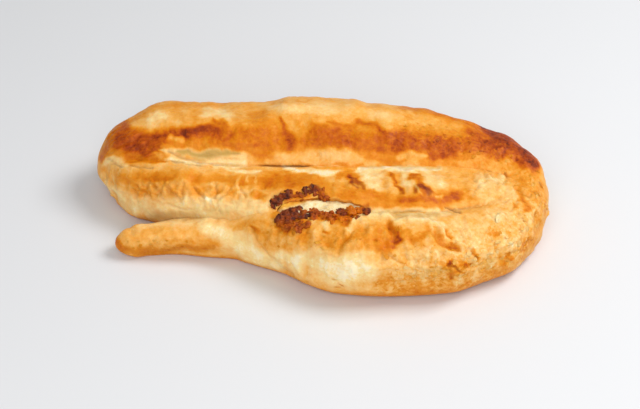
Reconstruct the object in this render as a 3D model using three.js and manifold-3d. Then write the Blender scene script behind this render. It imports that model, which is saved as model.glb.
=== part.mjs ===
// Burek: one long roll of thin filo around a white cheese filling, laid in a flat oval coil and baked.
// From its thin tail the roll runs along the front, round the right end and back along the far side. At
// the left end it is folded back, and it ends between the two outer arms. The filling has burst out of
// one seam.
//
// Millimetres, +Z up, X along the coil's length, Y from the front arm to the back arm. The origin is on
// the flat underside, below the middle of the coil.
import * as THREE from "three";
import { mergeVertices } from "three/addons/utils/BufferGeometryUtils.js";
import Module from "manifold-3d";

// The roll's outer stretch, from the tail to the left end, where it is folded back sharply on itself:
// where its centre lies, and how wide and high it is there.
const outerStations = [
  { at: "tail tip", x: -96, y: -17, width: 12, height: 13 },
  { at: "tail", x: -70, y: -14, width: 18, height: 16 },
  { at: "tail root", x: -42, y: -15.5, width: 22, height: 19 },
  { at: "shoulder", x: -16, y: -24.5, width: 27, height: 27 },
  { at: "front arm, left", x: 14, y: -36.5, width: 37, height: 32 },
  { at: "front arm, right", x: 50, y: -36, width: 36, height: 32 },
  { at: "right end, front", x: 80, y: -20, width: 31, height: 29 },
  { at: "right end", x: 94, y: 5, width: 25, height: 28 },
  { at: "right end, back", x: 80, y: 25.2, width: 37.6, height: 33 },
  { at: "back arm, right", x: 45, y: 34.5, width: 51, height: 39 },
  { at: "back arm, middle", x: 0, y: 36.3, width: 53.4, height: 41 },
  { at: "back arm, left", x: -48, y: 36.5, width: 52, height: 42 },
  { at: "left end, back", x: -75, y: 36, width: 48, height: 41 },
  { at: "left end", x: -92, y: 33, width: 39, height: 36 },
  { at: "fold", x: -108.5, y: 30, width: 30, height: 30 },
];

// The inner stretch, from that fold back to the roll's inner end.
const innerStations = [
  { at: "fold", x: -105, y: 23, width: 15, height: 27 },
  { at: "left end, front", x: -87, y: 15.5, width: 20, height: 29 },
  { at: "middle arm, root", x: -71, y: 9.2, width: 27, height: 30 },
  { at: "middle arm, left", x: -45, y: 2.5, width: 36, height: 30 },
  { at: "middle arm", x: 0, y: -4, width: 46, height: 31 },
  { at: "middle arm, right", x: 50, y: -5, width: 48, height: 31 },
  { at: "inner end", x: 95, y: -4, width: 41, height: 27 },
];

// How long each end of a stretch is rounded over, and how far from its ends the filling keeps.
const outerEnds = { startTip: 8, endTip: 18, coreStart: 40, coreStop: 30 };
const innerEnds = { startTip: 13, endTip: 9, coreStart: 26, coreStop: 20 };

// The roll's section: a rounded box, fuller below, that has sunk a little where it lies.
const bellyShare = 0.42; // height of the widest point, as a share of the roll's height
const sideRoundness = 2.3; // 2 is an ellipse, more is squarer
const undersideRoundness = 2.8;
const sunk = 1.2; // how much of the round underside is pressed flat

// The outside of the fold, where the outer stretch runs on into the inner one.
const foldCentre = new THREE.Vector3(-91, 26, 14);
const foldSize = new THREE.Vector3(28, 29, 28);

// Swells and dents of the crust: a few long waves that run through the whole coil.
const swellWaves = 7;
const swellDepth = 0.55;
const shortestSwell = 15;
const swellGrowth = 1.22; // each wave is this much longer than the one before

// The cheese filling: a core that follows the roll, and the cheese that shows in the burst.
const coreShare = 0.5; // core size as a share of the roll's size
const coreLevel = 0.46; // height of the core's middle, as a share of the roll's height
const coreTip = 9;
const clearance = 0.3; // between the filling and the pastry

// The burst: a lens-shaped tear along the seam between the front and middle arms, filled with cheese.
const tearCentre = new THREE.Vector3(0, -20.3, 22);
const tearSize = new THREE.Vector3(44, 14, 26);
const tearTurn = THREE.MathUtils.degToRad(-6);
const curdLevel = 25;

// The burnt crags on the tear's two lips: three points of each lip in plan, from left to right.
const frontCrags = { lip: [[-21, -29.5], [0, -27.3], [21, -22.6]], lumps: 15, size: 3.3 };
const backCrags = { lip: [[-22, -19.5], [-16, -12.5], [1, -11.5]], lumps: 9, size: 2.6 };
const cragUnevenness = 0.2; // share of a crag's size
const cragSwell = 0.3; // how much larger the crags are at the two ends of a lip

// Fineness of the facets.
const skinStep = 4.6;
const skinSides = 32;
const coreStep = 9;
const coreSides = 10;
const tipRings = 5;
const eggSides = 24;
const lineDivisions = 2000;
const seatTolerance = 0.01; // of a crag's place, in millimetres and radians
const slabWidth = 400;
const slabDepth = 40;

const wasm = await Module();
wasm.setup();

// A stretch of the roll: its centre line and its width and height, both running through the stations.
function makeRoll(stations, ends) {
  const line = new THREE.CatmullRomCurve3(stations.map((s) => new THREE.Vector3(s.x, s.y, 0)));
  line.arcLengthDivisions = lineDivisions;
  const sizes = stations.map((s) => new THREE.Vector3(s.width, s.height, 0));
  const girth = new THREE.CatmullRomCurve3(sizes, false, "catmullrom");
  return { stations, line, girth, length: line.getLength(), ...ends };
}
const outerRoll = makeRoll(outerStations, outerEnds);
const innerRoll = makeRoll(innerStations, innerEnds);

// Distance along a roll of a named station, found among the curve's own length divisions.
function distanceOf(roll, name) {
  const share = roll.stations.findIndex((s) => s.at === name) / (roll.stations.length - 1);
  const lengths = roll.line.getLengths();
  return lengths[Math.round(share * (lengths.length - 1))];
}

// Quarter-circle rounding of an end: 0 at the tip, 1 once past the tip's length.
function rounding(fromTip, tipLength) {
  const left = 1 - THREE.MathUtils.clamp(fromTip / tipLength, 0, 1);
  return Math.sqrt(1 - left * left);
}

// Sum of long waves through the solid. Directions follow the golden angle, so no two are alike.
const goldenAngle = Math.PI * (3 - Math.sqrt(5));
function swell(point) {
  let height = 0;
  for (let k = 0; k < swellWaves; k += 1) {
    const wavelength = shortestSwell * swellGrowth ** k;
    const tilt = 1 - (2 * (k + 0.5)) / swellWaves;
    const flat = Math.sqrt(1 - tilt * tilt);
    const along =
      point.x * flat * Math.cos(k * goldenAngle) +
      point.y * flat * Math.sin(k * goldenAngle) +
      point.z * tilt;
    height += Math.sin((2 * Math.PI * along) / wavelength + k) * Math.sqrt(wavelength / shortestSwell);
  }
  return (swellDepth * height) / Math.sqrt(swellWaves);
}

// The section of a roll at a distance from its start: centre, sideways direction, width and height.
function sectionAt(roll, distance) {
  const t = roll.line.getUtoTmapping(THREE.MathUtils.clamp(distance / roll.length, 0, 1));
  const tangent = roll.line.getTangent(t);
  const girth = roll.girth.getPoint(t);
  const left = new THREE.Vector3(-tangent.y, tangent.x, 0);
  return { centre: roll.line.getPoint(t), left, width: girth.x, height: girth.y };
}

const signedPower = (value, power) => Math.sign(value) * Math.abs(value) ** power;

// A point of the crust. The angle runs from the left side over the top to the right side and below.
function skinPoint(roll, distance, angle) {
  const { centre, left, width, height } = sectionAt(roll, distance);
  const end = rounding(distance, roll.startTip) * rounding(roll.length - distance, roll.endTip);
  const belly = bellyShare * height;
  const up = Math.sin(angle);
  const across = (width / 2) * signedPower(Math.cos(angle), 2 / sideRoundness);
  const rise =
    up > 0
      ? (height - belly) * up ** (2 / sideRoundness)
      : (belly + sunk) * signedPower(up, 2 / undersideRoundness);
  const point = centre.addScaledVector(left, across * end).setZ(belly + rise * end);
  const outwards = left.multiplyScalar(Math.cos(angle)).setZ(Math.max(up, 0));
  return point.addScaledVector(outwards, swell(point) * end);
}

// A point of the filling's core, an oval in the middle of the roll, grown by a margin.
function corePoint(roll, distance, angle, margin) {
  const { centre, left, width, height } = sectionAt(roll, distance);
  const toStart = distance - roll.coreStart;
  const toStop = roll.length - roll.coreStop - distance;
  const end = (coreShare / 2) * rounding(toStart, coreTip) * rounding(toStop, coreTip);
  const up = (height * end + margin) * Math.sin(angle);
  return centre
    .addScaledVector(left, (width * end + margin) * Math.cos(angle))
    .setZ(coreLevel * height + up);
}

// Ring distances from one end to the other, closer together over a rounded tip.
function ringDistances(from, to, step, startTip, endTip) {
  const intoTip = (k) => 1 - Math.cos((k * Math.PI) / 2 / tipRings);
  const spans = Math.round((to - endTip - from - startTip) / step);
  const distances = [];
  for (let k = 1; k < tipRings; k += 1) distances.push(from + startTip * intoTip(k));
  for (let k = 0; k <= spans; k += 1) {
    distances.push(THREE.MathUtils.lerp(from + startTip, to - endTip, k / spans));
  }
  for (let k = tipRings - 1; k > 0; k -= 1) distances.push(to - endTip * intoTip(k));
  return distances;
}

// A three.js geometry as a solid that can be joined and cut.
function solidOf(geometry) {
  const bare = geometry.clone();
  bare.deleteAttribute("normal");
  bare.deleteAttribute("uv");
  const merged = mergeVertices(bare);
  return new wasm.Manifold(
    new wasm.Mesh({
      numProp: 3,
      vertProperties: new Float32Array(merged.attributes.position.array),
      triVerts: new Uint32Array(merged.index.array),
    }),
  );
}

// A closed solid through rings of points, each end closed by a fan about the middle of its ring.
function sweptSolid(distances, sides, pointAt) {
  const positions = [];
  const triangles = [];
  const lastRing = distances.length - 1;
  for (const distance of distances) {
    for (let j = 0; j < sides; j += 1) {
      positions.push(...pointAt(distance, (2 * Math.PI * j) / sides).toArray());
    }
  }
  const addMiddle = (ring) => {
    const middle = new THREE.Vector3();
    for (let j = 0; j < sides; j += 1) {
      middle.add(new THREE.Vector3().fromArray(positions, 3 * (ring * sides + j)));
    }
    positions.push(...middle.divideScalar(sides).toArray());
    return positions.length / 3 - 1;
  };
  const startMiddle = addMiddle(0);
  const endMiddle = addMiddle(lastRing);
  for (let j = 0; j < sides; j += 1) {
    const next = (j + 1) % sides;
    triangles.push(startMiddle, next, j);
    triangles.push(endMiddle, lastRing * sides + j, lastRing * sides + next);
    for (let near = 0; near < lastRing * sides; near += sides) {
      const far = near + sides;
      triangles.push(near + j, near + next, far + j, near + next, far + next, far + j);
    }
  }
  const geometry = new THREE.BufferGeometry();
  geometry.setAttribute("position", new THREE.Float32BufferAttribute(positions, 3));
  geometry.setIndex(triangles);
  return solidOf(geometry);
}

// A wide block, from a level upwards.
function blockAbove(level) {
  const block = new THREE.BoxGeometry(slabWidth, slabWidth, slabDepth);
  return solidOf(block.translate(0, 0, level + slabDepth / 2));
}

// A stretch of the roll as a solid.
function makeStretch(roll) {
  const rings = ringDistances(0, roll.length, skinStep, roll.startTip, roll.endTip);
  return sweptSolid(rings, skinSides, (distance, angle) => skinPoint(roll, distance, angle));
}

// The filling's core in a stretch of the roll, grown by a margin.
function makeCore(roll, margin) {
  const rings = ringDistances(roll.coreStart, roll.length - roll.coreStop, coreStep, coreTip, coreTip);
  return sweptSolid(rings, coreSides, (distance, angle) => corePoint(roll, distance, angle, margin));
}

// An egg-shaped solid, turned about its upright axis and grown by a margin.
function makeEgg(size, centre, turn, margin) {
  const egg = new THREE.SphereGeometry(0.5, eggSides, eggSides / 2);
  egg.scale(size.x + 2 * margin, size.y + 2 * margin, size.z + 2 * margin).rotateZ(turn);
  return solidOf(egg.translate(centre.x, centre.y, centre.z));
}

// The place on an arm's crust above a point of the plan. The arm runs towards +X between two distances.
function crustAt(x, y, arm) {
  let { from, to } = arm;
  while (to - from > seatTolerance) {
    const half = (from + to) / 2;
    if (sectionAt(arm.roll, half).centre.x < x) from = half;
    else to = half;
  }
  let left = 0;
  let right = Math.PI;
  while (right - left > seatTolerance) {
    const half = (left + right) / 2;
    if (skinPoint(arm.roll, from, half).y > y) left = half;
    else right = half;
  }
  return new THREE.Vector3(x, y, skinPoint(arm.roll, from, left).z);
}

// A row of burnt lumps along a lip of the tear, larger at its two ends, each turned its own way.
function makeCrags(row, arm) {
  const lip = new THREE.CatmullRomCurve3(row.lip.map(([x, y]) => new THREE.Vector3(x, y, 0)));
  let crags = null;
  for (let k = 0; k < row.lumps; k += 1) {
    const along = k / (row.lumps - 1);
    const place = lip.getPointAt(along);
    const seat = crustAt(place.x, place.y, arm);
    const fromMiddle = Math.abs(2 * along - 1);
    const share = 1 + cragUnevenness * Math.sin(k * goldenAngle) - cragSwell * (1 - fromMiddle);
    const lump = new THREE.IcosahedronGeometry(row.size * share, 0);
    lump.rotateX(k * goldenAngle).rotateZ(2 * k * goldenAngle).translate(seat.x, seat.y, seat.z);
    crags = crags ? crags.add(solidOf(lump)) : solidOf(lump);
  }
  return crags;
}

// The filling, grown by a margin: the cores of both stretches, joined by the cheese in the tear.
function makeFilling(margin) {
  const tear = makeEgg(tearSize, tearCentre, tearTurn, margin - clearance);
  const curd = tear.subtract(blockAbove(curdLevel + margin));
  return makeCore(outerRoll, margin).add(makeCore(innerRoll, margin)).add(curd);
}

// The pastry: both stretches pressed flat below, torn open, with burnt crags on the tear's two lips.
// The scraps that the cuts leave loose are dropped.
function makePastry() {
  const frontArm = {
    roll: outerRoll,
    from: distanceOf(outerRoll, "tail root"),
    to: distanceOf(outerRoll, "right end, front"),
  };
  const middleArm = { roll: innerRoll, from: 0, to: innerRoll.length };
  const pieces = makeStretch(outerRoll)
    .add(makeStretch(innerRoll))
    .add(makeEgg(foldSize, foldCentre, 0, 0))
    .subtract(blockAbove(-slabDepth))
    .subtract(makeEgg(tearSize, tearCentre, tearTurn, 0))
    .add(makeCrags(frontCrags, frontArm))
    .add(makeCrags(backCrags, middleArm))
    .subtract(makeFilling(clearance))
    .decompose();
  return pieces.reduce((largest, piece) => (piece.volume() > largest.volume() ? piece : largest));
}

// A solid as a named three.js mesh.
function meshOf(solid, name, material) {
  const made = solid.getMesh();
  const geometry = new THREE.BufferGeometry();
  geometry.setAttribute("position", new THREE.BufferAttribute(made.vertProperties, 3));
  geometry.setIndex(new THREE.BufferAttribute(made.triVerts, 1));
  geometry.computeVertexNormals();
  const mesh = new THREE.Mesh(geometry, material);
  mesh.name = name;
  return mesh;
}

const crust = new THREE.MeshStandardMaterial({ color: 0xd9964a, roughness: 0.55, metalness: 0 });
const cheese = new THREE.MeshStandardMaterial({ color: 0xf1e2bd, roughness: 0.6, metalness: 0 });

const burek = new THREE.Group();
burek.add(meshOf(makePastry(), "pastry_roll", crust));
burek.add(meshOf(makeFilling(0), "cheese_filling", cheese));
burek.position.copy(new THREE.Box3().setFromObject(burek).getCenter(new THREE.Vector3())).negate().setZ(0);

export default burek;
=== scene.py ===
"""Dresses the burek's solids: a coiled filo roll, baked uneven, with its cheese filling showing in a tear."""
import math

import bpy
import numpy as np
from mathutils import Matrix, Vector


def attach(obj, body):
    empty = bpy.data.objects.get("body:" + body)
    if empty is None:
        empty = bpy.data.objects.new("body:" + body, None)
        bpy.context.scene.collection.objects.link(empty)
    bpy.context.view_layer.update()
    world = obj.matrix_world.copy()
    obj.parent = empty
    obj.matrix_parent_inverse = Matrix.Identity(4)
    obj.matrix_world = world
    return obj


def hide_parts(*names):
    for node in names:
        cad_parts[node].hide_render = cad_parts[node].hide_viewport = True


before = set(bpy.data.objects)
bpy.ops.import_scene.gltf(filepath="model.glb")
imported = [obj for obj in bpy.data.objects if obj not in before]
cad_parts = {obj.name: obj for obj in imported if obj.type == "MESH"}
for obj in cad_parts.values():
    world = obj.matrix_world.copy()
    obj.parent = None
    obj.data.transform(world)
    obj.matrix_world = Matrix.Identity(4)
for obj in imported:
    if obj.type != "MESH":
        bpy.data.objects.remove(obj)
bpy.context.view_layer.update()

# Filo roll
# The burek itself: oiled filo leaves rolled round cheese into one long roll, laid in a flat oval coil and
# baked on a tray. From its thin tail the roll runs along the front, round the right end and back along
# the far side. At the left end it is folded sharply back, and it ends between the two outer arms.
MM = 0.001
COIL_MIDDLE = np.array([-0.7497, 3.1102, 0.0])  # of the coil's box, on the grid of the stations below

# Where each stretch's centre lies, and how wide and high the roll is there: x, y, width, height in mm.
OUTER_STATIONS = np.array([
    (-96, -17, 12, 13),  # tail tip
    (-70, -14, 18, 16),
    (-42, -15.5, 22, 19),  # tail root
    (-16, -24.5, 27, 27),
    (14, -36.5, 37, 32),  # front arm
    (50, -36, 36, 32),
    (80, -20, 31, 29),
    (94, 5, 25, 28),  # right end
    (80, 25.2, 37.6, 33),
    (45, 34.5, 51, 39),  # back arm
    (0, 36.3, 53.4, 41),
    (-48, 36.5, 52, 42),
    (-75, 36, 48, 41),
    (-92, 33, 39, 36),  # left end
    (-108.5, 30, 30, 30),
])
INNER_STATIONS = np.array([
    (-102.5, 22.5, 15, 26),  # fold
    (-87, 15.5, 20, 29),
    (-71, 9.2, 27, 30),
    (-45, 2.5, 36, 30),  # middle arm
    (0, -4, 46, 31),
    (50, -5, 48, 31),
    (95, -4, 41, 27),  # inner end
])
OUTER_TIPS = (11.5, 18)  # length over which each end is rounded
INNER_TIPS = (15, 9)
FOLD_CENTRE = np.array([-91, 26, 14])  # the egg-shaped outside of the fold
FOLD_SIZE = np.array([28, 29, 28])

BELLY_SHARE = 0.42  # height of the widest point, as a share of the roll's height
SIDE_ROUNDNESS = 2.3  # 2 is an ellipse, more is squarer
UNDERSIDE_ROUNDNESS = 2.8
SUNK = 1.2  # how much of the round underside is pressed flat

# Long waves that swell and dent the roll: how many, how deep, the shortest, and how much longer the next is.
SWELL_WAVES = 7
SWELL_DEPTH = 0.55
SHORTEST_SWELL = 15
SWELL_GROWTH = 1.22
GOLDEN_ANGLE = math.pi * (3 - math.sqrt(5))

CURVE_SAMPLES = 6000  # places where a stretch's curve is worked out, before its rings are laid
RING_STEP = 0.8  # of the mesh along the roll
TIP_RINGS = 22
TOP_ANGLES = 116  # mesh lines over the top of the roll, and below each side
SIDE_ANGLES = 16


def curve_through(stations, spacing, t):
    """Catmull-Rom curve through stations, at parameters t that count the stations from 0.

    Each piece is a cubic. Its slopes weigh the neighbouring chords by the stations' spacing, and a mirrored
    station is added beyond either end.
    """
    mirrored = 2 * stations[[0, -1]] - stations[[1, -2]]
    p = np.vstack([mirrored[:1], stations, mirrored[1:]])
    i = np.minimum(t.astype(int), len(stations) - 2)
    u = (t - i)[:, None]
    p0, p1, p2, p3 = (p[i + k] for k in range(4))
    d0, d1, d2 = (spacing[i + k][:, None] for k in range(3))
    slope1 = d1 * ((p1 - p0) / d0 - (p2 - p0) / (d0 + d1) + (p2 - p1) / d1)
    slope2 = d1 * ((p2 - p1) / d1 - (p3 - p1) / (d1 + d2) + (p3 - p2) / d2)
    square = 3 * (p2 - p1) - 2 * slope1 - slope2
    cube = 2 * (p1 - p2) + slope1 + slope2
    return p1 + u * (slope1 + u * (square + u * cube))


def end_rounding(from_tip, tip):
    """Quarter circle: 0 at the tip and 1 once past the tip's length."""
    return np.sqrt(1 - (1 - np.clip(from_tip / tip, 0, 1)) ** 2)


def lay_stretch(stations, tips, step, tip_rings, kept_off=(0, 0)):
    """Sections of a stretch at rings along it: place, sideways direction, width, height and end rounding.

    The rings are a step apart, and closer over the rounded tips, by the cosine of a quarter turn. They keep
    off the two ends of the stretch by the given lengths.
    """
    t = np.linspace(0, len(stations) - 1, CURVE_SAMPLES)
    mirrored = 2 * stations[[0, -1], :2] - stations[[1, -2], :2]
    chords = np.diff(np.vstack([mirrored[:1], stations[:, :2], mirrored[1:]]), axis=0)
    line = curve_through(stations[:, :2], np.sqrt(np.linalg.norm(chords, axis=1)), t)
    girth = curve_through(stations[:, 2:], np.ones(len(stations) + 1), t)
    run = np.append(0, np.cumsum(np.linalg.norm(np.diff(line, axis=0), axis=1)))
    first, last = kept_off[0], run[-1] - kept_off[1]
    into_tip = 1 - np.cos(np.linspace(0, math.pi / 2, tip_rings + 1)[1:-1])
    spans = round((last - first - sum(tips)) / step)
    body = np.linspace(first + tips[0], last - tips[1], spans + 1)
    along = np.concatenate([first + tips[0] * into_tip, body, last - tips[1] * into_tip[::-1]])
    tangent = np.gradient(line, axis=0)
    tangent /= np.linalg.norm(tangent, axis=1)[:, None]
    table = np.column_stack([line, -tangent[:, 1], tangent[:, 0], girth])
    at_rings = np.column_stack([np.interp(along, run, column) for column in table.T])
    return {
        "along": along,
        "centre": at_rings[:, 0:2],
        "left": at_rings[:, 2:4],
        "width": at_rings[:, 4],
        "height": at_rings[:, 5],
        "end": end_rounding(along - first, tips[0]) * end_rounding(last - along, tips[1]),
    }


def swell(points):
    """Swells and dents: a sum of long sine waves through the coil, turned by the golden angle one by one."""
    k = np.arange(SWELL_WAVES)
    wavelength = SHORTEST_SWELL * SWELL_GROWTH**k
    tilt = 1 - 2 * (k + 0.5) / SWELL_WAVES
    flat = np.sqrt(1 - tilt**2)
    directions = np.stack([flat * np.cos(k * GOLDEN_ANGLE), flat * np.sin(k * GOLDEN_ANGLE), tilt])
    waves = np.sin(2 * math.pi * (points @ directions) / wavelength + k)
    return SWELL_DEPTH * (waves * np.sqrt(wavelength / SHORTEST_SWELL)).sum(-1) / math.sqrt(SWELL_WAVES)


def signed_power(value, power):
    """A power of the value's size, with the value's own sign."""
    return np.sign(value) * np.abs(value) ** power


def smooth_skin(stretch, around):
    """The bare crust on a grid of rings by angles: a rounded box section carried along the stretch.

    The angle runs from below over the left side, the top and the right side. Powers of its cosine and sine
    give a section that is squarer than an ellipse, and flatter below the belly than above it.
    """
    end = stretch["end"][:, None]
    belly = BELLY_SHARE * stretch["height"][:, None]
    up = np.sin(around)
    across = stretch["width"][:, None] / 2 * signed_power(np.cos(around), 2 / SIDE_ROUNDNESS) * end
    above = (stretch["height"][:, None] - belly) * np.maximum(up, 0) ** (2 / SIDE_ROUNDNESS)
    below = (belly + SUNK) * signed_power(np.minimum(up, 0), 2 / UNDERSIDE_ROUNDNESS)
    points = np.empty(across.shape + (3,))
    points[..., :2] = stretch["centre"][:, None] + across[..., None] * stretch["left"][:, None]
    points[..., 2] = belly + (above + below) * end
    outwards = np.empty_like(points)
    outwards[..., :2] = np.cos(around)[:, None] * stretch["left"][:, None]
    outwards[..., 2] = np.maximum(up, 0)
    return points + outwards * (swell(points) * end)[..., None]


def unrolled(stretch, around):
    """Place on the unrolled leaf: how far along the roll, and how far around it from its crown."""
    radius = (stretch["width"] + stretch["height"])[:, None] / 4
    from_crown = (around - math.pi / 2) * radius
    return np.stack([np.broadcast_to(stretch["along"][:, None], from_crown.shape), from_crown], -1)


def lattice_random(cells, seed):
    """A number from 0 to 1 for every whole-number cell, mixed from its coordinates by multiply and shift."""
    primes = np.array([73856093, 19349663, 83492791], np.uint32)[: cells.shape[-1]]
    mixed = (cells.astype(np.uint32) * primes).sum(-1, dtype=np.uint32)
    mixed += np.uint32(seed * 2654435761 % 2**32)
    for shift, factor in ((15, 2246822519), (13, 3266489917)):
        mixed = (mixed ^ (mixed >> np.uint32(shift))) * np.uint32(factor)
    return (mixed ^ (mixed >> np.uint32(16))) / 2**32


def soft_noise(points, seed):
    """Smooth noise from -1 to 1: random values at the corners of unit cells, blended by an S-curve."""
    cell = np.floor(points).astype(np.int64)
    part = points - cell
    blend = part**3 * (part * (part * 6 - 15) + 10)
    total = np.zeros(points.shape[:-1])
    for corner in np.ndindex(*[2] * points.shape[-1]):
        weight = np.where(corner, blend, 1 - blend).prod(-1)
        total += weight * lattice_random(cell + np.array(corner), seed)
    return 2 * total - 1


def creased(points, seed):
    """Round folds between sharp creases, about -1 to 1: the creases lie where noise changes its sign."""
    return 3 * np.abs(soft_noise(points, seed)) - 1


def crumpled(points, seed):
    """Crumpled leaf, about -1 to 1: sharp ridges, where noise changes its sign, over three sizes of fold.

    Each size is half of the one before and 1.7 times lower.
    """
    folds = [(1 - 3 * np.abs(soft_noise(points * 2**k, seed + k))) / 1.7**k for k in range(3)]
    return sum(folds) / 2


def leaf_scales(points, seed):
    """Scales of broken leaf: each place belongs to the nearest of points that are strewn one to a cell.

    Gives the scale's shade, from 0 to 1, and the height of its tilted face.
    """
    cell = np.floor(points).astype(np.int64)
    nearest = np.full(points.shape[:-1], np.inf)
    shade = np.zeros(points.shape[:-1])
    height = np.zeros(points.shape[:-1])
    for step in np.ndindex(3, 3, 3):
        other = cell + np.array(step) - 1
        strewn, tilt = (
            np.stack([lattice_random(other, seed + first + k) for k in range(3)], -1) for first in (0, 3)
        )
        offset = points - other - strewn
        apart = (offset**2).sum(-1)
        closer = apart < nearest
        nearest = np.where(closer, apart, nearest)
        shade = np.where(closer, tilt[..., 0], shade)
        height = np.where(closer, 2 * (offset * (tilt - 0.5)).sum(-1), height)
    return shade, height


def gentle_step(value, low, high):
    """0 below low, 1 above high, and an S-curve between them."""
    part = np.clip((value - low) / (high - low), 0, 1)
    return part * part * (3 - 2 * part)


TINY = 1e-9  # keeps a length of nothing from being divided by


def unit_directions(vectors):
    """Vectors scaled to a length of 1."""
    return vectors / np.maximum(np.linalg.norm(vectors, axis=-1, keepdims=True), TINY)


def skin_directions(points):
    """Outward unit directions of a closed tube's grid, from the slopes along it and around it."""
    along = np.gradient(points, axis=0)
    around = np.roll(points, -1, axis=1) - np.roll(points, 1, axis=1)
    return unit_directions(np.cross(around, along))


MEASURED_RINGS = slice(None, None, 4)  # every fourth ring is enough to find the nearest section
LEAST_SHARE = 0.05  # of a section's size, so that its very middle has a direction too


def gap_to_stretch(points, stretch):
    """Distance of points from a stretch's bare crust, negative inside it, and the direction out of it.

    The nearest section is measured by its rounded box: how far out the point lies in it, times its size.
    The direction is the slope of that measure.
    """
    flat = points.reshape(-1, 3)
    centre = stretch["centre"][MEASURED_RINGS]
    near = ((centre**2).sum(1) - 2 * flat[:, :2] @ centre.T).argmin(1)
    left, width, height, end = (
        stretch[key][MEASURED_RINGS][near] for key in ("left", "width", "height", "end")
    )
    end = np.maximum(end, LEAST_SHARE)
    offset = flat[:, :2] - centre[near]
    side = (offset * left).sum(-1)
    up = flat[:, 2] - BELLY_SHARE * height
    half = width / 2 * end
    rise = np.where(up > 0, (1 - BELLY_SHARE) * height, BELLY_SHARE * height + SUNK) * end
    side_share, up_share = np.abs(side) / half, np.abs(up) / rise
    out = (side_share**SIDE_ROUNDNESS + up_share**SIDE_ROUNDNESS) ** (1 / SIDE_ROUNDNESS)
    gap = np.hypot(np.linalg.norm(offset, axis=1), up) * (1 - 1 / np.maximum(out, LEAST_SHARE))
    slope_side = np.sign(side) * side_share ** (SIDE_ROUNDNESS - 1) / half
    slope_up = np.sign(up) * up_share ** (SIDE_ROUNDNESS - 1) / rise
    away = unit_directions(np.column_stack([slope_side[:, None] * left, slope_up]))
    return gap.reshape(points.shape[:-1]), away.reshape(points.shape)


def gap_to_egg(points, size, centre):
    """Distance of points from an egg's skin, negative inside it, and the direction out of it."""
    offset = points - centre
    share = offset / (size / 2)
    out = np.maximum(np.linalg.norm(share, axis=-1), LEAST_SHARE)
    gap = np.linalg.norm(offset, axis=-1) * (1 - 1 / out)
    return gap, unit_directions(share / (size / 2))


SIDE_BY_SIDE = 0.6  # cosine between two skins' directions, past which there is no valley between them


def closed_up(points, outward, gaps, valley_reach):
    """Fills the valley beside each neighbour, as soft rolls do that are baked against each other.

    Within reach of a neighbour the crust rises by the square of what is missing of the reach, over four
    times the reach, in a direction between its own outward one and the one out of the neighbour. Where the
    two skins run side by side there is no valley, and the crust stays.
    """
    moved = points.copy()
    for gap, away in gaps:
        missing = np.maximum(valley_reach - np.abs(gap), 0)
        missing *= 1 - gentle_step((outward * away).sum(-1), 0, SIDE_BY_SIDE)
        share = (missing / (2 * valley_reach))[..., None]
        moved += (outward * (1 - share) + away * share) * (missing**2 / (4 * valley_reach))[..., None]
    return moved


# The crust is painted on a slanted plan, as seen from in front and 37 degrees above it: across is x, and up
# is y and z in one. What faces away from there is finished more evenly.
LOOK_DOWN = math.radians(37.1)
TOWARDS_FRONT = np.array([0, -math.cos(LOOK_DOWN), math.sin(LOOK_DOWN)])
TURNED_AWAY = (-0.35, 0.0)  # how far the crust faces the front where strokes come in, and where they are full

# How near to the next arm the soft crust starts to rise towards it: the loose tail hardly does.
VALLEY_REACH = 9.0
VALLEY_STROKES = [
    ("tail", 2.0, [(-93, -2, 6.6), (-65, 1, 6.6), (-39, 3, 5.7)]),
]
# Swells and dents of the coil that are seen one by one: how high, in mm.
RISE_STROKES = [
    ("crown, middle", 2.2, [(-15, 57.5, 5.7), (-1, 58.5, 7.6), (14, 57, 5.7)]),
    ("crown, left of the middle", -1.8, [(-45, 58, 5.7), (-32, 57, 6.6)]),
    ("crown, right", -1.2, [(64, 52, 8.5), (80, 45.5, 7.6)]),
    ("crown, right of the middle", 1.1, [(51, 55.5, 3.8), (58, 54, 4.7)]),
    ("right shoulder", 1.2, [(88, 40, 7.6), (97, 32.5, 6.6)]),
    ("low side of the front arm", -1.6, [(15, -28, 6.6), (35, -28.5, 7.1), (52, -27.5, 6.6)]),
    ("right end", -1.4, [(104, 17.5, 5.7), (107, 9.5, 6.6), (104, 2, 6.6)]),
    ("left end, low", -1.6, [(-104, 19, 5.7), (-101, 12, 6.6), (-97, 8, 4.7)]),
    ("tail, top", -1.2, [(-87, -1, 2.8), (-81, 1, 3.8), (-72, 2, 4.3), (-60, 2.5, 4.3)]),
    ("tail tip", -0.8, [(-93, -2.5, 2.8), (-89, -1, 2.8)]),
    ("left end, side", -1.8, [(-106, 27.5, 3.8), (-104, 20.5, 4.3), (-102, 14.5, 3.8)]),
    ("tail, low", -1.5, [(-79, -14, 3.8), (-56, -14, 3.8), (-41, -15, 3.8)]),
]
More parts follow.
